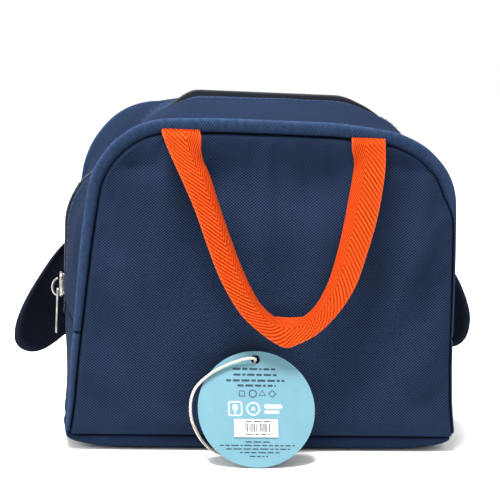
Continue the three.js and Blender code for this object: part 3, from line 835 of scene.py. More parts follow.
def rim_rows(inset):
    """The rim beside a panel: distance from the middle plane, outwards from the outline, and painted
    highlight, strongest on its lit ridge.
    """
    return [
        (0.0385, -inset - 0.0030, 0), (0.0400, -inset - 0.0006, 0), (0.0414, -inset, 0),
        (0.0430, -0.90 * inset, 0), (0.0440, -0.76 * inset, 0.2), (0.0443, -0.55 * inset, 0.35),
        (0.0444, -0.32 * inset, 0.4), (0.0442, -0.12 * inset, 0.5), (0.0435, 0.0004, 0.9),
        (0.0428, 0.0006, 1.0), (0.0420, 0.0001, 0.3), (0.0408, -0.0008, 0.05), (0.0385, -0.0009, 0),
    ]


RIM_DRAWN_SHARE = 0.3  # at a seam's ends the rims are drawn in less than the rest


def sweep(name, rows, runs, facing, ripple=True, ends=0.0012):
    """A closed soft band. rows are its cross-section all the way round, and runs give each row's way
    along the outline at each station. Its two ends are drawn in a little, as at a seam."""
    stations = runs.shape[0]
    y = np.array([row[0] for row in rows])
    out = np.stack([row[1] + 0 * runs[:, 0] for row in rows], -1)
    # Each row's share of painted highlight, the same at every station.
    wear = np.tile([row[2] for row in rows], (stations, 1))
    signed_y = y[None] * facing + 0 * runs
    if ripple:
        outer = (out[0] > -0.004) & (y < 0.041) & (y > 0.006)
        out = out + outer[None] * gusset_ripple(runs, signed_y)
    drawn = np.zeros(stations)
    drawn[[0, -1]] = ends
    drawn[[1, -2]] = ends * 0.3
    shares = np.where(np.abs(y) > 0.038, RIM_DRAWN_SHARE, 1.0)
    out = out - drawn[:, None] * shares[None] * (out > -0.0035)
    points = gusset_point(runs, signed_y, out)
    girth = np.concatenate([[0], np.cumsum(np.hypot(np.diff(y), np.diff(out[0])))])
    cloth = np.stack([runs, np.tile(girth, (stations, 1))], -1)
    return make_object(name, points, tube_faces(stations, len(rows)), cloth, wear)


def slanted_foot(y):
    """The height of the slanting seam under the zip, at a distance from the middle plane."""
    return SEAM_FOOT_REAR + (SEAM_FOOT_ZIP - SEAM_FOOT_REAR) * np.clip(1 - (y - 0.006) / 0.036, 0, 1)


STRIP_STATIONS = 150
STRIP_BACK = -0.0056
# The rest of a strip's cross-section, from the rim to the zip's fold and back: distance from the middle
# plane, outwards from the outline, and painted highlight, here along the lit fold edge by the zip.
STRIP_ROWS = [
    (0.0350, -0.0004, 0), (0.0300, 0, 0), (0.0240, 0.0005, 0), (0.0180, 0.0008, 0), (0.0130, 0.0007, 0),
    (0.0095, 0.0002, 0), (0.0082, 0.0004, 0.1), (0.0068, 0.0007, 0.6), (0.0058, 0.0003, 0.8),
    (0.0055, -0.0004, 0.1), (0.0062, -0.0009, 0), (0.0080, -0.0014, 0), (0.0086, -0.0034, 0),
    (0.0095, STRIP_BACK, 0), (0.0200, STRIP_BACK, 0), (0.0330, STRIP_BACK, 0),
]


def add_strip(facing):
    """The strip between a panel and the zip, from the slanting seam over the top to the other one."""
    way = np.linspace(-1, 1, STRIP_STATIONS)
    rows = rim_rows(seam_at(way * run_at(SEAM_FOOT_REAR))) + STRIP_ROWS
    runs = way[:, None] * run_at(slanted_foot(np.array([row[0] for row in rows])))[None]
    half = HALVES[facing]
    strip = subdivide(sweep(f"{half}_gusset", rows, runs, facing))
    finish_piece(strip, GUSSET_CLOTH, bends=facing,
                 replaces=[f"{half}_gusset_strip", f"{half}_foam_gusset"])


SEAM_LAP = 0.0016  # how far the sides reach up behind the strips' feet
SIDE_STATIONS = 26


def add_side(side):
    """A lower side, from the slanting seams down to the base's seam."""
    z = np.linspace(PANEL_FOOT_Z + 0.0008, SEAM_FOOT_REAR + SEAM_LAP, SIDE_STATIONS)
    hollow = 0.0016 * np.sin(math.pi * np.clip(z / 0.055, 0, 1)) ** 2
    front = rim_rows(seam_at(side * run_at(z)))
    front += [(y_at, -hollow * (1 - y_at / 0.04), 0) for y_at in (0.034, 0.026, 0.018, 0.010, 0.003)]
    rear = [(-y_at, out, wear) for y_at, out, wear in front]
    back = [(y_at, STRIP_BACK, 0) for y_at in (0.030, 0.015, 0.0, -0.015, -0.030)]
    rows = rear + front[::-1] + back
    lifted = slanted_foot(np.abs([row[0] for row in rows])) - SEAM_FOOT_REAR
    share = (z - z[0]) / (z[-1] - z[0])
    runs = side * run_at(z[:, None] + share[:, None] * lifted[None])
    name = SIDES[side]
    piece = subdivide(sweep(f"{name}_side", rows, runs, 1, ripple=False, ends=0.0019))
    finish_piece(piece, GUSSET_CLOTH, body="root",
                 replaces=[f"{name}_side_lower", f"{name}_side_foam_lower"])


# The base's cross-section from its seam to the floor: inwards from its outline, and up.
BASE_ROLL = [
    (0.0070, 0.0066), (0.0040, 0.0074), (0.0024, 0.0076), (0.0014, 0.0072), (0.0008, 0.0056),
    (0.0010, 0.0034), (0.0024, 0.0015), (0.0050, 0.0004), (0.0090, 0.0), (0.0180, 0.0), (0.0300, 0.0),
]
BASE_CORNER = 0.007
BASE_LIFT = 0.0042  # the base's corners stand off the floor by this much
BASE_TOUCH_X = 0.070
BASE_POINTS = 160


def base_ring(inset):
    """x and y of a ring of the base: a rectangle with rounded corners."""
    half_x, half_y = BASE_HALF_WIDTH - inset, HALF_DEPTH + 0.0004 - inset
    corner = max(BASE_CORNER - inset, 0.0008)
    angle = np.linspace(0, 2 * math.pi, BASE_POINTS, endpoint=False)
    square = np.maximum(np.abs(np.cos(angle)) / half_x, np.abs(np.sin(angle)) / half_y)
    x, y = np.cos(angle) / square, np.sin(angle) / square
    over_x = np.maximum(np.abs(x) - (half_x - corner), 0)
    over_y = np.maximum(np.abs(y) - (half_y - corner), 0)
    both = (over_x > 0) & (over_y > 0)
    reach = np.maximum(np.where(both, np.hypot(over_x, over_y) / corner, 1), 1)
    x = np.where(both, np.sign(x) * (half_x - corner + over_x / reach), x)
    y = np.where(both, np.sign(y) * (half_y - corner + over_y / reach), y)
    return x, y


def add_base():
    """The base: a padded sheet whose edge rolls up to the seam, with its corners off the floor."""
    rings = []
    for inset, up in BASE_ROLL:
        x, y = base_ring(inset)
        lift = BASE_LIFT * np.clip((np.abs(x) - BASE_TOUCH_X) / (BASE_HALF_WIDTH - BASE_TOUCH_X), 0, 1) ** 2
        z = np.maximum(up, lift * (1 - up / 0.0078) + up)
        foot = squeeze(np.sign(x) * run_at(PANEL_FOOT_Z), y) * np.abs(x / BASE_HALF_WIDTH) ** 8
        rings.append(settle(x - np.sign(x) * foot, y, z))
    vertices = np.concatenate([*rings, [[0, 0, 0]], [[0, 0, BASE_ROLL[0][1]]]])
    low = len(rings) * BASE_POINTS
    faces = grid_faces(len(rings), BASE_POINTS, wrap=True)
    faces += fan_faces(low - BASE_POINTS, BASE_POINTS, low) + fan_faces(0, BASE_POINTS, low + 1)
    down = np.maximum(0.0076 - vertices[:, 2], 0)  # the cloth runs on over the edge
    cloth = np.stack([vertices[:, 0] + down * (vertices[:, 0] / BASE_HALF_WIDTH) ** 5,
                      vertices[:, 1] + down * (vertices[:, 1] / HALF_DEPTH) ** 5], -1)
    base = subdivide(make_object("base", vertices, faces, cloth, np.zeros(len(vertices))))
    finish_piece(base, GUSSET_CLOTH, body="root",
                 replaces=["base_panel", "base_foam"])


for way_faced in HALVES:
    add_strip(way_faced)
for side_of_bag in SIDES:
    add_side(side_of_bag)
add_base()


# ---- Zip ----
ZIP_FOOT_Z = 0.0625
TOOTH_PITCH = 0.0014
TOOTH_SIDES = 6
TOOTH_RADIUS = 0.00062
TOOTH_RINGS = [(0.0027, 0.9, 0.0004), (0.0022, 1.15, 0.0), (0.0, 1.0, -0.0001), (-0.0005, 0.75, 0.0)]
TAPE_STATIONS = 220


def zip_rise(run):
    """Over the top, the tapes and the coil stand a little proud of the strips."""
    return 0.0010 * (1 - smoothstep(0.060, 0.085, np.abs(run)))


def add_zip_tape(facing):
    way = np.linspace(-1, 1, TAPE_STATIONS)
    rise = zip_rise(way * run_at(ZIP_FOOT_Z))
    rows = [(0.0102, -0.0014, 0), (0.0070, -0.0011, 0), (0.0048, rise - 0.0006, 0),
            (0.0034, rise + 0.0002, 0), (0.0026, rise + 0.0005, 0), (0.0017, rise + 0.0001, 0),
            (0.0011, rise - 0.0012, 0), (0.0045, -0.0016, 0), (0.0075, -0.0020, 0)]
    runs = way[:, None] * np.full((1, len(rows)), run_at(ZIP_FOOT_Z))
    half = HALVES[facing]
    tape = sweep(f"{half}_zip_tape_cloth", rows, runs, facing, ripple=False, ends=0.0)
    finish_piece(tape, TAPE, replaces=[f"{half}_zip_tape"], bends=facing)


def add_zip_coil(facing):
    """One side's coil: a row of small bars that reach past the middle, between the other side's."""
    length = run_at(ZIP_FOOT_Z + 0.002)
    count = int(2 * length / TOOTH_PITCH)
    middles = -length + (np.arange(count) + (0.25 if facing < 0 else 0.75)) * TOOTH_PITCH
    angle = np.arange(TOOTH_SIDES) * 2 * math.pi / TOOTH_SIDES
    along, up = TOOTH_RADIUS * np.cos(angle), TOOTH_RADIUS * np.sin(angle)
    vertices, faces = [], []
    for middle in middles:
        faces += tube_faces(len(TOOTH_RINGS), TOOTH_SIDES, start=len(vertices) * TOOTH_SIDES)
        for y, scale, drop in TOOTH_RINGS:
            rise = up * scale - drop + zip_rise(middle)
            vertices.append(gusset_point(middle + along * scale, facing * y, rise))
    half = HALVES[facing]
    coil = make_object(f"{half}_zip_teeth", np.concatenate(vertices), faces)
    finish_piece(coil, COIL, replaces=[f"{half}_zip_coil"], bends=facing)


def squared(value, power):
    """Turns a circle's sine or cosine into that of a rounder or squarer loop."""
    return np.sign(value) * np.abs(value) ** power


def add_zip_end(side):
    """The foot of the zip: a folded tab of tape across both halves, and the stop that ends the coil."""
    name = SIDES[side]
    low, high = SEAM_FOOT_ZIP - 0.006, ZIP_FOOT_Z + 0.0012
    rows, columns = 9, 15
    half_width = 0.0064
    z = np.linspace(low, high, rows)[:, None] + np.zeros((1, columns))
    y = np.linspace(-half_width, half_width, columns)[None] + np.zeros((rows, 1))
    crown = 0.0004 * (1 - (y / half_width) ** 4)
    surface = gusset_point(side * run_at(z), y, crown - 0.0009)
    tab = make_object(f"{name}_zip_tab", surface, grid_faces(rows, columns), np.stack([y, z], -1))
    thicken(tab, 0.0007)
    finish_piece(tab, TAPE, body="root", replaces=[f"{name}_zip_end_tape"])
    steps = 12
    angle = np.linspace(0, 2 * math.pi, steps, endpoint=False)
    rings = []
    for lift, half_y, half_z in ((-0.0010, 0.0027, 0.0011), (0.0001, 0.0030, 0.0013),
                                 (0.0008, 0.0028, 0.0011), (0.0011, 0.0020, 0.0007)):
        z_ring = ZIP_FOOT_Z + 0.0016 + half_z * squared(np.sin(angle), 0.6)
        rings.append(gusset_point(side * run_at(z_ring), half_y * squared(np.cos(angle), 0.6), lift))
    stop = make_object(f"{name}_zip_stop", np.concatenate(rings), tube_faces(len(rings), steps))
    finish_piece(subdivide(stop), COIL, body="root", replaces=[f"{name}_zip_end_coil"])


for way_faced in HALVES:
    add_zip_tape(way_faced)
    add_zip_coil(way_faced)
for side_of_bag in SIDES:
    add_zip_end(side_of_bag)


# ---- Stitches ----
STITCH_LENGTH = 0.0024
STITCH_GAP = 0.0008
THREAD_RADIUS = 0.00017
STITCH_RINGS = [(-1.2, 0.55), (0.35, 0.95), (0.7, 1.0), (0.35, 0.95), (-1.2, 0.55)]  # lift and width
THREAD_SIDES = 6


def add_stitches(facing, points, normals):
    """A line of stitches along a route on a half: thread that dips into the cloth at both ends of every
    stitch."""
    travel = travel_along(points)
    vertices, faces = [], []
    for i in range(int(travel[-1] / (STITCH_LENGTH + STITCH_GAP))):
        start = i * (STITCH_LENGTH + STITCH_GAP) + STITCH_GAP / 2
        t = np.linspace(start, start + STITCH_LENGTH, len(STITCH_RINGS))
        middle = np.stack([np.interp(t, travel, points[:, k]) for k in range(3)], -1)
        normal = unit(np.stack([np.interp(t, travel, normals[:, k]) for k in range(3)], -1))
        forward = middle[-1] - middle[0]
        forward /= np.linalg.norm(forward)
        faces += tube_faces(len(STITCH_RINGS), THREAD_SIDES, start=len(vertices))
        for k, (lift, width) in enumerate(STITCH_RINGS):
            sideways = np.cross(forward, normal[k])
            for s in range(THREAD_SIDES):
                angle = 2 * math.pi * s / THREAD_SIDES
                vertices.append(middle[k] + normal[k] * THREAD_RADIUS * (lift + width * math.sin(angle))
                                + sideways * THREAD_RADIUS * width * math.cos(angle))
    line = make_object(f"{HALVES[facing]}_zip_topstitch", vertices, faces)
    finish_piece(line, BLUE_THREAD, bends=facing)


def gusset_route(y, out, foot_z, stations=400):
    """A route along the gusset at one distance from the middle plane, with its outward normals."""
    run = np.linspace(-1, 1, stations) * run_at(foot_z)
    ripple = gusset_ripple(run, y)
    here = gusset_point(run, y, out + ripple)
    return here, gusset_point(run, y, out + 0.001 + ripple) - here


for way_faced in HALVES:
    add_stitches(way_faced, *gusset_route(way_faced * 0.0086, 0.0005, 0.066))


# ---- Slider and pull ----
zip_lean = math.atan((zip_x(FOLD_Z) - zip_x(ZIP_RUN_TOP)) / (ZIP_RUN_TOP - FOLD_Z))
slider_frame = (Matrix.Translation((-zip_x(SLIDER_Z), 0, SLIDER_Z)) @ Matrix.Rotation(zip_lean, 4, "Y"))
pull_place = slider_frame @ Vector((PULL_PIVOT[0], 0, PULL_PIVOT[1]))
pull_frame = Matrix.Translation(pull_place)


def plate(outline_points, x_low, x_high):
    """Vertices and faces of a plate drawn across Y and Z, from one X to another."""
    vertices = [(x, y, z) for x in (x_low, x_high) for y, z in outline_points]
    return vertices, tube_faces(2, len(outline_points))


def tube_round(points, radius, across, up, sides):
    """The vertices of a round tube, ring by ring; across and up are the directions of its section."""
    angle = np.arange(sides) * 2 * math.pi / sides
    rings = points[:, None] + radius * (np.cos(angle)[None, :, None] * across[:, None]
                                        + np.sin(angle)[None, :, None] * up[:, None])
    return rings.reshape(-1, 3)


def combine(parts):
    vertices, faces = [], []
    for part_vertices, part_faces in parts:
        start = len(vertices)
        vertices += list(part_vertices)
        faces += [[v + start for v in face] for face in part_faces]
    return vertices, faces


def slider_outline(half_width, foot, head):
    """A slider plate: wide at the head with rounded shoulders, narrower at the foot."""
    points = []
    for i in range(13):
        angle = math.pi * i / 12
        points.append((half_width * math.cos(angle), head - 0.0030 + 0.0030 * math.sin(angle)))
    foot_half = [(0.55, foot), (0.72, foot + 0.0012), (0.98, foot + 0.006)]
    points += [(-half_width * share, z) for share, z in foot_half[::-1]]
    return points + [(half_width * share, z) for share, z in foot_half]


def add_slider():
    outer = plate(slider_outline(0.0043, -0.006, 0.007), -0.0026, -0.0015)
    inner = plate(slider_outline(0.0041, -0.006, 0.0068), 0.0024, 0.0035)
    wedge_outline = [(0.0005, -0.0052), (0.0009, 0.0040), (0.0, 0.0062), (-0.0009, 0.0040),
                     (-0.0005, -0.0052)]
    wedge = plate(wedge_outline, -0.0016, 0.0026)
    sides = [plate([(s * 0.0040, -0.0050), (s * 0.0045, -0.0050), (s * 0.0046, 0.0030), (s * 0.0041, 0.0030)],
                   x0, x1) for s in (-1, 1) for x0, x1 in ((-0.0020, -0.0009), (0.0018, 0.0029))]
    body = make_object("slider", *combine([outer, inner, wedge, *sides]))
    bevel(body, 0.00032, 3, 30)
    body.data.transform(slider_frame)
    finish_piece(body, METAL, body="slider", replaces=["slider_body"])
    angle = np.linspace(math.radians(-78), math.radians(78), 21)
    arch = np.stack([-0.0024 - 0.0040 * np.cos(angle) ** 0.8, 0 * angle,
                     -0.0012 + 0.0046 * np.sin(angle)], -1)
    tangent = unit(np.gradient(arch, axis=0))
    across = np.stack([-tangent[:, 2], 0 * tangent[:, 0], tangent[:, 0]], -1)
    wire = tube_round(arch, 0.0006, across, np.array([[0, 1.0, 0]]), 10)
    bail = make_object("slider_bail", wire, tube_faces(len(arch), 10))
    bail.data.transform(slider_frame)
    finish_piece(bail, METAL, body="slider")


PULL_LENGTH = 0.023
PULL_TIP_RADIUS = 0.0028
PULL_EYE_RADIUS = 0.0011


def add_pull():
    """A slim tapering pull with a slot at its head, a waist, a rounded tip and an eye."""
    tip_z = PULL_TIP_RADIUS - PULL_LENGTH
    half = [(0.0023, 0.0004), (0.0026, -0.0010), (0.0025, -0.0052), (0.0019, -0.0072), (0.0021, -0.0120),
            (0.0026, tip_z + 0.0010)]
    tip = [(PULL_TIP_RADIUS * math.cos(a), tip_z - PULL_TIP_RADIUS * math.sin(a))
           for a in np.linspace(0.15, math.pi - 0.15, 13)]
    crest = [(-y, z) for y, z in half[::-1]] + [(-0.0016, 0.0011), (0.0016, 0.0011)]
    outer = half + tip + crest
    work = bmesh.new()
    loops = [outer, [(0.0013 * math.cos(a), -0.0028 + 0.0021 * math.sin(a))
                     for a in np.linspace(0, 2 * math.pi, 20, endpoint=False)],
             [(PULL_EYE_RADIUS * math.cos(a), tip_z + PULL_EYE_RADIUS * math.sin(a))
              for a in np.linspace(0, 2 * math.pi, 16, endpoint=False)]]
    edges = []
    for loop in loops:
        ring = [work.verts.new((-0.0005, y, z)) for y, z in loop]
        edges += [work.edges.new((a, b)) for a, b in zip(ring, ring[1:] + ring[:1])]
    bmesh.ops.triangle_fill(work, use_beauty=True, edges=edges)
    made = bmesh.ops.extrude_face_region(work, geom=list(work.faces))
    moved = [v for v in made["geom"] if isinstance(v, bmesh.types.BMVert)]
    bmesh.ops.translate(work, verts=moved, vec=(0.0010, 0, 0))
    bmesh.ops.recalc_face_normals(work, faces=work.faces)
    mesh = bpy.data.meshes.new("pull")
    work.to_mesh(mesh)
    work.free()
    pull = link_object("pull", mesh)
    bevel(pull, 0.00022, 2, 40)
    shade(pull.data, smooth=True)
    pull.data.transform(pull_frame)
    finish_piece(pull, METAL, body="pull", replaces=["pull_tab"])


add_slider()
add_pull()


# ---- Handles ----
# The band's two edges as it is seen from outside, outer edge and inner edge, x and z in mm, and how far
# its inner edge is curled back.
HANDLE_STATIONS = [
    (-60.2, 166.2, -41.0, 166.2, 0.0), (-59.8, 163.2, -40.2, 163.2, 0.0), (-57.5, 157.5, -40.0, 156.5, 0.1),
    (-54.0, 150.0, -38.6, 150.5, 0.6), (-49.5, 141.0, -35.4, 143.5, 0.9), (-42.4, 126.0, -30.0, 128.5, 1.0),
    (-35.6, 108.5, -23.4, 111.5, 1.0), (-28.2, 91.5, -16.6, 95.5, 1.0), (-17.8, 75.0, -8.6, 81.0, 0.9),
    (-7.0, 65.2, -1.0, 73.6, 0.8), (1.5, 59.7, 2.5, 72.6, 0.8), (6.8, 57.8, 7.8, 72.2, 0.8),
    (12.0, 59.4, 13.0, 72.6, 0.8), (22.6, 65.2, 17.0, 74.0, 0.8), (33.0, 76.0, 23.4, 81.0, 0.9),
    (41.4, 90.0, 29.0, 92.5, 1.0), (47.0, 107.5, 33.4, 109.0, 1.0), (51.6, 126.5, 36.8, 128.0, 1.0),
    (54.2, 145.0, 39.2, 146.0, 0.9), (54.8, 153.0, 39.2, 152.5, 0.6), (54.9, 158.0, 37.6, 157.5, 0.1),
    (54.8, 161.5, 37.0, 161.5, 0.0), (54.8, 165.0, 37.2, 165.0, 0.0),
]
HANDLE_STEPS = 14
BAND_COLUMNS = 25
BAND_STEPS = 60
BAND_THICKNESS = 0.0013
BAND_APEX = 0.62  # where the herringbone turns, as a share of the width from the outer edge


def band_section(curl):
    """The band's cross-section for one amount of curl: shares across and back, each of the flat width."""
    t = np.linspace(0, 1, BAND_STEPS)
    last = BAND_STEPS - 1
    tilt = math.radians(14) * curl + math.radians(62) * curl * smoothstep(0.5, 1.0, t)
    pick = np.linspace(0, last, BAND_COLUMNS)
    ways = [np.concatenate([[0], np.cumsum(part(tilt[:-1]) / last)]) for part in (np.cos, np.sin)]
    return [np.interp(pick, np.arange(BAND_STEPS), way) for way in ways]


def add_handle(facing):
    """One webbing handle: a band that hangs from the top seam, tilted and curled along its inner edge."""
    outer = np.array(smooth_route([row[:2] for row in HANDLE_STATIONS], HANDLE_STEPS)) * MM
    inner_route = np.array(smooth_route([row[2:] for row in HANDLE_STATIONS], HANDLE_STEPS))
    inner = inner_route[:, :2] * MM
    curl = np.clip(inner_route[:, 2], 0, 1)
    travel = travel_along((outer + inner) / 2)
    t = np.linspace(0, 1, BAND_COLUMNS)
    points, cloth, wear = [], [], []
    for i in range(len(outer)):
        across, back = band_section(curl[i])
        width = np.linalg.norm(inner[i] - outer[i]) / across[-1]
        share = across / across[-1]
        flat = outer[i][None] * (1 - share[:, None]) + inner[i][None] * share[:, None]
        hang = np.clip((HANDLE_HINGE_Z - flat[:, 1]) / (HANDLE_HINGE_Z - HANDLE_LOW_Z), 0, 1.1)
        tucked = 0.0018 * smoothstep(0.1615, 0.1655, flat[:, 1])
        y = HANDLE_HINGE_Y + HANDLE_STAND_OFF * hang + 0.0028 * curl[i]
        y = y - back * width * 0.8 - 0.0006 - tucked
        wave = 0.0005 * noise.noise(Vector((travel[i] * 60, facing * 3.0, 0)))
        points.append(np.stack([flat[:, 0] * -facing, facing * (y + wave), flat[:, 1]], -1))
        cloth.append(np.stack([(t - BAND_APEX) * 0.0195, np.full(BAND_COLUMNS, travel[i])], -1))
        # Painted highlight along both edges of the band, over the outer sixteenth of its width on each side.
        wear.append(np.clip(1 - np.minimum(t, 1 - t) * 16, 0, 1))
    name = f"{HALVES[facing]}_handle"
    band = make_object(f"{name}_band", np.concatenate(points), grid_faces(len(points), BAND_COLUMNS),
                       np.concatenate(cloth), np.concatenate(wear))
    thicken(band, BAND_THICKNESS)
    subdivide(band)
    finish_piece(band, WEBBING, body=name, replaces=[name])


for way_faced in HALVES:
    add_handle(way_faced)


# ---- Side flaps ----
FLAP_Y = 0.039
FLAP_HALF_THICKNESS = 0.0016
# The leaves' outlines, |x| and z in mm: down the outer edge from the top of the root.
FLAP_OUTLINES = {
    -1: [(94, 99.5), (100, 97), (105.5, 91.5), (111, 84), (116.2, 75.5), (121.4, 66.2), (125.6, 57),
         (128.4, 47.5), (128.4, 39), (124.6, 34.2), (118.5, 32.6), (112.5, 34.2), (106.5, 38.2),
         (100, 43.6), (92, 48)],
    1: [(94, 104), (103, 101), (111.8, 94), (118.6, 85.4), (124.2, 76.6), (128.6, 67.2), (131.2, 57.4),
        (130.6, 47.6), (127.0, 41.6), (121.4, 39.4), (115, 40.2), (108, 42.6), (100, 46.4), (92, 50.2)],
}


def add_flap(side):
    """A padded leaf: two faces that swell apart and meet in a seam round the edge."""
    route = np.array(smooth_route(FLAP_OUTLINES[side], 6)) * MM
    root_foot, root_head = route[-1], route[0]
    count = len(route)
    # Every outline point is joined to a point of the root, and rings step between the two.
    travel = travel_along(route)
    share = (travel / travel[-1])[:, None]
    root = root_head * (1 - share) + root_foot * share
    rings = 14
    points = {1: [], -1: []}
    cloth = []
    for t in np.linspace(0, 1, rings):
        reach = t ** 0.8
        flat = root * (1 - reach) + route * reach
        from_edge = np.minimum(1 - reach, np.minimum(share[:, 0], 1 - share[:, 0]) * 1.6)
        puff = FLAP_HALF_THICKNESS * np.clip(from_edge * 9, 0, 1) ** 0.5
        bow = 0.0022 * np.sin(math.pi * 0.8 * reach) - 0.0012 * reach**3
        ripple = noise_at(flat, 60, 2.0 * side) * 0.0006 * reach
        for face in (1, -1):
            y = FLAP_Y + bow + ripple + face * (puff + 0.00035)
            points[face].append(np.stack([side * flat[:, 0], y, flat[:, 1]], -1))
        cloth.append(flat)
    front, back = np.array(points[1]), np.array(points[-1])
    vertices = np.concatenate([front.reshape(-1, 3), back.reshape(-1, 3)])
    faces = grid_faces(rings, count) + grid_faces(rings, count, start=rings * count)
    border = boundary_of(rings, count)
    faces += band_faces(border, border + rings * count)
    flat_cloth = np.concatenate(cloth)
    # Painted highlight along the leaf's outer edge, fainter one ring in.
    wear = np.zeros((rings, count))
    wear[-1] = 1
    wear[-2] = 0.5
    name = f"{SIDES[side]}_flap"
    flap = make_object(f"{name}_leaf", vertices, faces, np.concatenate([flat_cloth, flat_cloth]),
                       np.concatenate([wear.ravel(), wear.ravel()]))
    finish_piece(subdivide(flap), FLAP_CLOTH, body=name, replaces=[name])


for side_of_bag in SIDES:
    add_flap(side_of_bag)


# ---- Lining ----
LINING_INSET = 0.0068
LINING_Y = 0.0379
LINING_FOOT_Z = 0.0595
LINING_THICKNESS = 0.0005


def add_half_lining(facing):
    """The lining of a half: a face behind the panel, and a band under the gusset strip."""
    rows, columns = 25, 31
    patch = arch_patch(lambda run: LINING_INSET + 0.002 + 0 * run, LINING_FOOT_Z, rows, columns, facing)
    x, z = patch[..., 0], patch[..., 1]
    crinkle = noise_at(patch, 70, 5.0) * 0.0007
    face = settle(x, facing * (LINING_Y + crinkle), z)
    left = np.arange(rows) * columns
    chain = np.concatenate([left, (rows - 1) * columns + np.arange(1, columns), left[-2::-1] + columns - 1])
    run_side = -run_at(LINING_FOOT_Z) + (run_at(LINING_FOOT_Z) - MID_SHOULDER) * np.linspace(0, 1, rows)
    run_top = MID_SHOULDER * (2 * np.linspace(0, 1, columns)[1:] - 1)
    runs = np.concatenate([run_side, run_top, -run_side[-2::-1]])
    vertices = [face.reshape(-1, 3)]
    faces = grid_faces(rows, columns)
    cloth = [patch.reshape(-1, 2)]
    previous = chain
    for i, (y, out) in enumerate(((0.0365, -LINING_INSET), (0.030, -LINING_INSET + 0.0003),
                                  (0.022, -LINING_INSET + 0.0004), (0.014, -LINING_INSET + 0.0004),
                                  (0.0092, -LINING_INSET + 0.0010))):
        vertices.append(gusset_point(runs, facing * y, out))
        cloth.append(np.stack([runs, np.full(len(runs), y)], -1))
        ring = rows * columns + i * len(runs) + np.arange(len(runs))
        faces += np.stack([previous[:-1], previous[1:], ring[1:], ring[:-1]], -1).tolist()
        previous = ring
    half = HALVES[facing]
    lining = make_object(f"{half}_lining_film", np.concatenate(vertices), faces, np.concatenate(cloth))
    thicken(lining, LINING_THICKNESS)
    finish_piece(lining, FOIL, replaces=[f"{half}_lining_upper"], bends=facing)


def add_tub():
    """The lining of the lower bag: a wall all round and a floor."""
    count = 120
    angle = np.linspace(0, 2 * math.pi, count, endpoint=False)
    rings, cloth = [], []
    for z, inset in ((0.0088, 0.012), (0.0080, 0.004), (0.0092, 0.0008), (0.0120, 0.0), (0.020, 0.0),
                     (0.030, 0.0), (0.040, 0.0), (0.050, 0.0), (0.0602, 0.0)):
        half_x = BASE_HALF_WIDTH - z * math.tan(TAPER) - LINING_INSET - inset
        half_y = LINING_Y - inset
        x, y = half_x * squared(np.cos(angle), 0.16), half_y * squared(np.sin(angle), 0.16)
        crinkle = noise_at(np.stack([x, y, np.full(count, z)], -1), 60, 7.0) * 0.0005
        rings.append(settle(x * (1 - crinkle * 8), y * (1 + crinkle * 8), np.full(count, z)))
        cloth.append(np.stack([angle * 0.045, np.full(count, z)], -1))
    vertices = np.concatenate(rings + [np.array([[0, 0, 0.0088]])])
    faces = grid_faces(len(rings), count, wrap=True)
    faces += fan_faces(0, count, len(rings) * count)
    cloth = np.concatenate(cloth + [np.zeros((1, 2))])
    tub = make_object("lining_tub_film", vertices, faces, cloth)
    thicken(tub, LINING_THICKNESS)
    finish_piece(tub, FOIL, body="root", replaces=["lining_tub"])


for way_faced in HALVES:
    add_half_lining(way_faced)
add_tub()


# ---- Hang tag ----
tag_frame = Matrix.Translation(TAG_FOOT) @ Matrix.Rotation(-TAG_LEAN, 4, "X")
PRINT_HEIGHT = 0.00005
PRINT_GAP = 0.00002


def flat_shapes(name, shapes, face_y, material):
    """Thin printed shapes on the tag. A shape is one closed outline across and up the card, or two
    outlines of the same number of points, an outer and an inner one, for a frame."""
    top_y = face_y - PRINT_HEIGHT
    parts = []
    for shape in shapes:
        loops = shape if isinstance(shape[0][0], (list, tuple)) else [shape]
        count = len(loops[0])
        if len(loops) == 1:
            rings = [(loops[0], face_y), (loops[0], top_y)]
            faces = tube_faces(2, count)
        else:
            rings = [(loops[0], face_y), (loops[0], top_y), (loops[1], top_y), (loops[1], face_y)]
            faces = hoop_faces(4, count)
        vertices = [(x, y, z) for loop, y in rings for x, z in loop]
        parts.append((vertices, faces))
    made = make_object(name, *combine(parts))
    shade(made.data, smooth=False)
    made.data.transform(tag_frame)
    finish_piece(made, material, body="tag")


def rounded_box(across, up, half_width, half_height, corner=0.3):
    """A rounded rectangle's outline; corner is a share of its smaller half side."""
    r = corner * min(half_width, half_height)
    points = []
    for quarter, (sx, sz) in enumerate(((1, 1), (-1, 1), (-1, -1), (1, -1))):
        for i in range(4):
            angle = math.pi / 2 * (quarter + i / 3)
            points.append((across + sx * (half_width - r) + r * math.cos(angle),
                           up + sz * (half_height - r) + r * math.sin(angle)))
    return points


def polygon(across, up, radius, sides, turn=0.0):
    return [(across + radius * math.cos(turn + 2 * math.pi * i / sides),
             up + radius * math.sin(turn + 2 * math.pi * i / sides)) for i in range(sides)]


def dashes(rows, half_height, seed):
    """Rows of plain dashes in place of small print: up the card, left end and right end in mm."""
    random = np.random.default_rng(seed)
    shapes = []
    for up, left, right in rows:
        at = left
        while at < right - 0.8:
            length = min(float(random.uniform(1.2, 4.4)), right - at)
            middle = (at + length / 2) * MM
            shapes.append(rounded_box(middle, up * MM, length / 2 * MM, half_height * MM, 0.9))
            at += length + 0.75
    return shapes


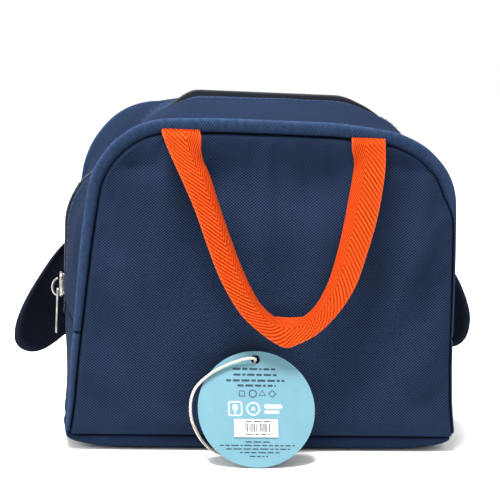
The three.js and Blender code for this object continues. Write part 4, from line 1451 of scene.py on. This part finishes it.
def add_tag():
    for node, material in (("hang_tag", CARD), ("tag_sticker", PAPER)):
        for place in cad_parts[node].material_slots:
            place.material = material
    face = -TAG_HALF_THICKNESS - PRINT_GAP
    large_rows = [(50.6, -12, 11.2), (47.6, -11.6, 10.8), (44.6, -15.4, 14.8), (42.0, -9.8, 10.2)]
    small_rows = [(13.0, -6, 6.8), (11.2, -19, 19.2), (9.4, -16, 17.2), (7.6, -9, 11.2), (5.7, -4, 5.2)]
    symbols = []
    for across, sides, turn in ((-7.4, 4, math.pi / 4), (-1.8, 24, 0), (3.0, 3, math.pi / 2), (8.2, 4, 0)):
        symbols.append([polygon(across * MM, 0.0378, 0.0021, sides, turn),
                        polygon(across * MM, 0.0378, 0.0016, sides, turn)])
    print_dark = dashes(large_rows, 0.55, 4) + dashes(small_rows, 0.3, 7) + symbols
    flat_shapes("tag_print_dark", print_dark, face, DARK_INK)
    pictograms = [
        [rounded_box(-0.0110, 0.0300, 0.0036, 0.0038, 0.35),
         rounded_box(-0.0110, 0.0300, 0.0030, 0.0032, 0.35)],
        rounded_box(-0.0110, 0.0306, 0.0013, 0.0015, 0.6),
        rounded_box(-0.0110, 0.0282, 0.0004, 0.0010, 0.6),
        [polygon(-0.0017, 0.0300, 0.0035, 24), polygon(-0.0017, 0.0300, 0.0028, 24)],
        polygon(-0.0017, 0.0300, 0.0014, 3, math.pi / 2),
        rounded_box(0.0086, 0.0312, 0.0046, 0.0011, 0.9), rounded_box(0.0078, 0.0284, 0.0038, 0.0008, 0.9),
    ]
    flat_shapes("tag_print_white", pictograms, face, WHITE_INK)
    random = np.random.default_rng(12)
    sticker_face = -TAG_HALF_THICKNESS - 0.0005 - PRINT_GAP
    bars = []
    at = -6.0
    while at < 6.6:
        width = float(random.choice([0.22, 0.34, 0.5]))
        bars.append(rounded_box((at + width / 2) * MM, 0.0203, width / 2 * MM, 0.0022, 0.2))
        at += width + float(random.choice([0.3, 0.42, 0.6]))
    bars += dashes([(16.9, -6, 6.6), (23.5, -6, 6.6)], 0.28, 9)
    flat_shapes("tag_sticker_bars", bars, sticker_face, BLACK_INK)


def add_knot():
    """An overhand knot pulled tight: thread wound round itself twice."""
    turns = np.linspace(0, 2 * math.pi, 61)[:-1]
    radius = 0.0008
    x = (np.sin(turns) + 2 * np.sin(2 * turns)) * 0.38 * radius
    y = (np.cos(turns) - 2 * np.cos(2 * turns)) * 0.38 * radius
    z = -np.sin(3 * turns) * 0.5 * radius
    points = np.stack([x, y, z], -1)
    tangent = unit(np.roll(points, -1, 0) - np.roll(points, 1, 0))
    side_way = unit(np.cross(tangent, np.array([0.2, 0.1, 1.0])))
    thread = tube_round(points, 0.0007, side_way, np.cross(side_way, tangent), 8)
    knot = make_object("hang_knot", thread + np.array(KNOT_MIDDLE), hoop_faces(len(points), 8))
    return finish_piece(knot, STRING, body="tag", replaces=["tag_knot"])


add_tag()
hang_knot = add_knot()
hang_string.data.materials.append(STRING)
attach(hang_string, "tag")
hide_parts("tag_string")


# ---- Floor and light ----
def add_floor():
    size = 6.0
    vertices = [(-size, -size, 0), (size, -size, 0), (size, size, 0), (-size, size, 0)]
    floor = make_object("floor", vertices, [[0, 1, 2, 3]])
    floor.location.z = -0.0002
    floor.data.materials.append(pale_floor())


def add_light(name, place, target, size, power):
    data = bpy.data.lights.new(name, "AREA")
    data.shape = "DISK"
    data.size = size
    data.energy = power
    light = link_object(name, data)
    light.location = place
    light.rotation_euler = (Vector(target) - Vector(place)).to_track_quat("-Z", "Y").to_euler()


def add_world():
    world = bpy.data.worlds.new("studio")
    world.use_nodes = True
    background = world.node_tree.nodes["Background"]
    background.inputs["Color"].default_value = (1.0, 1.0, 1.0, 1)
    background.inputs["Strength"].default_value = 1.15
    bpy.context.scene.world = world
    bpy.context.scene.view_settings.view_transform = "Standard"


add_floor()
add_world()
add_light("top_light", (-0.22, -0.22, 1.2), (0, 0, 0.1), 0.4, 45)
add_light("side_light", (-1.1, -0.45, 0.5), (0, 0, 0.09), 0.6, 8)
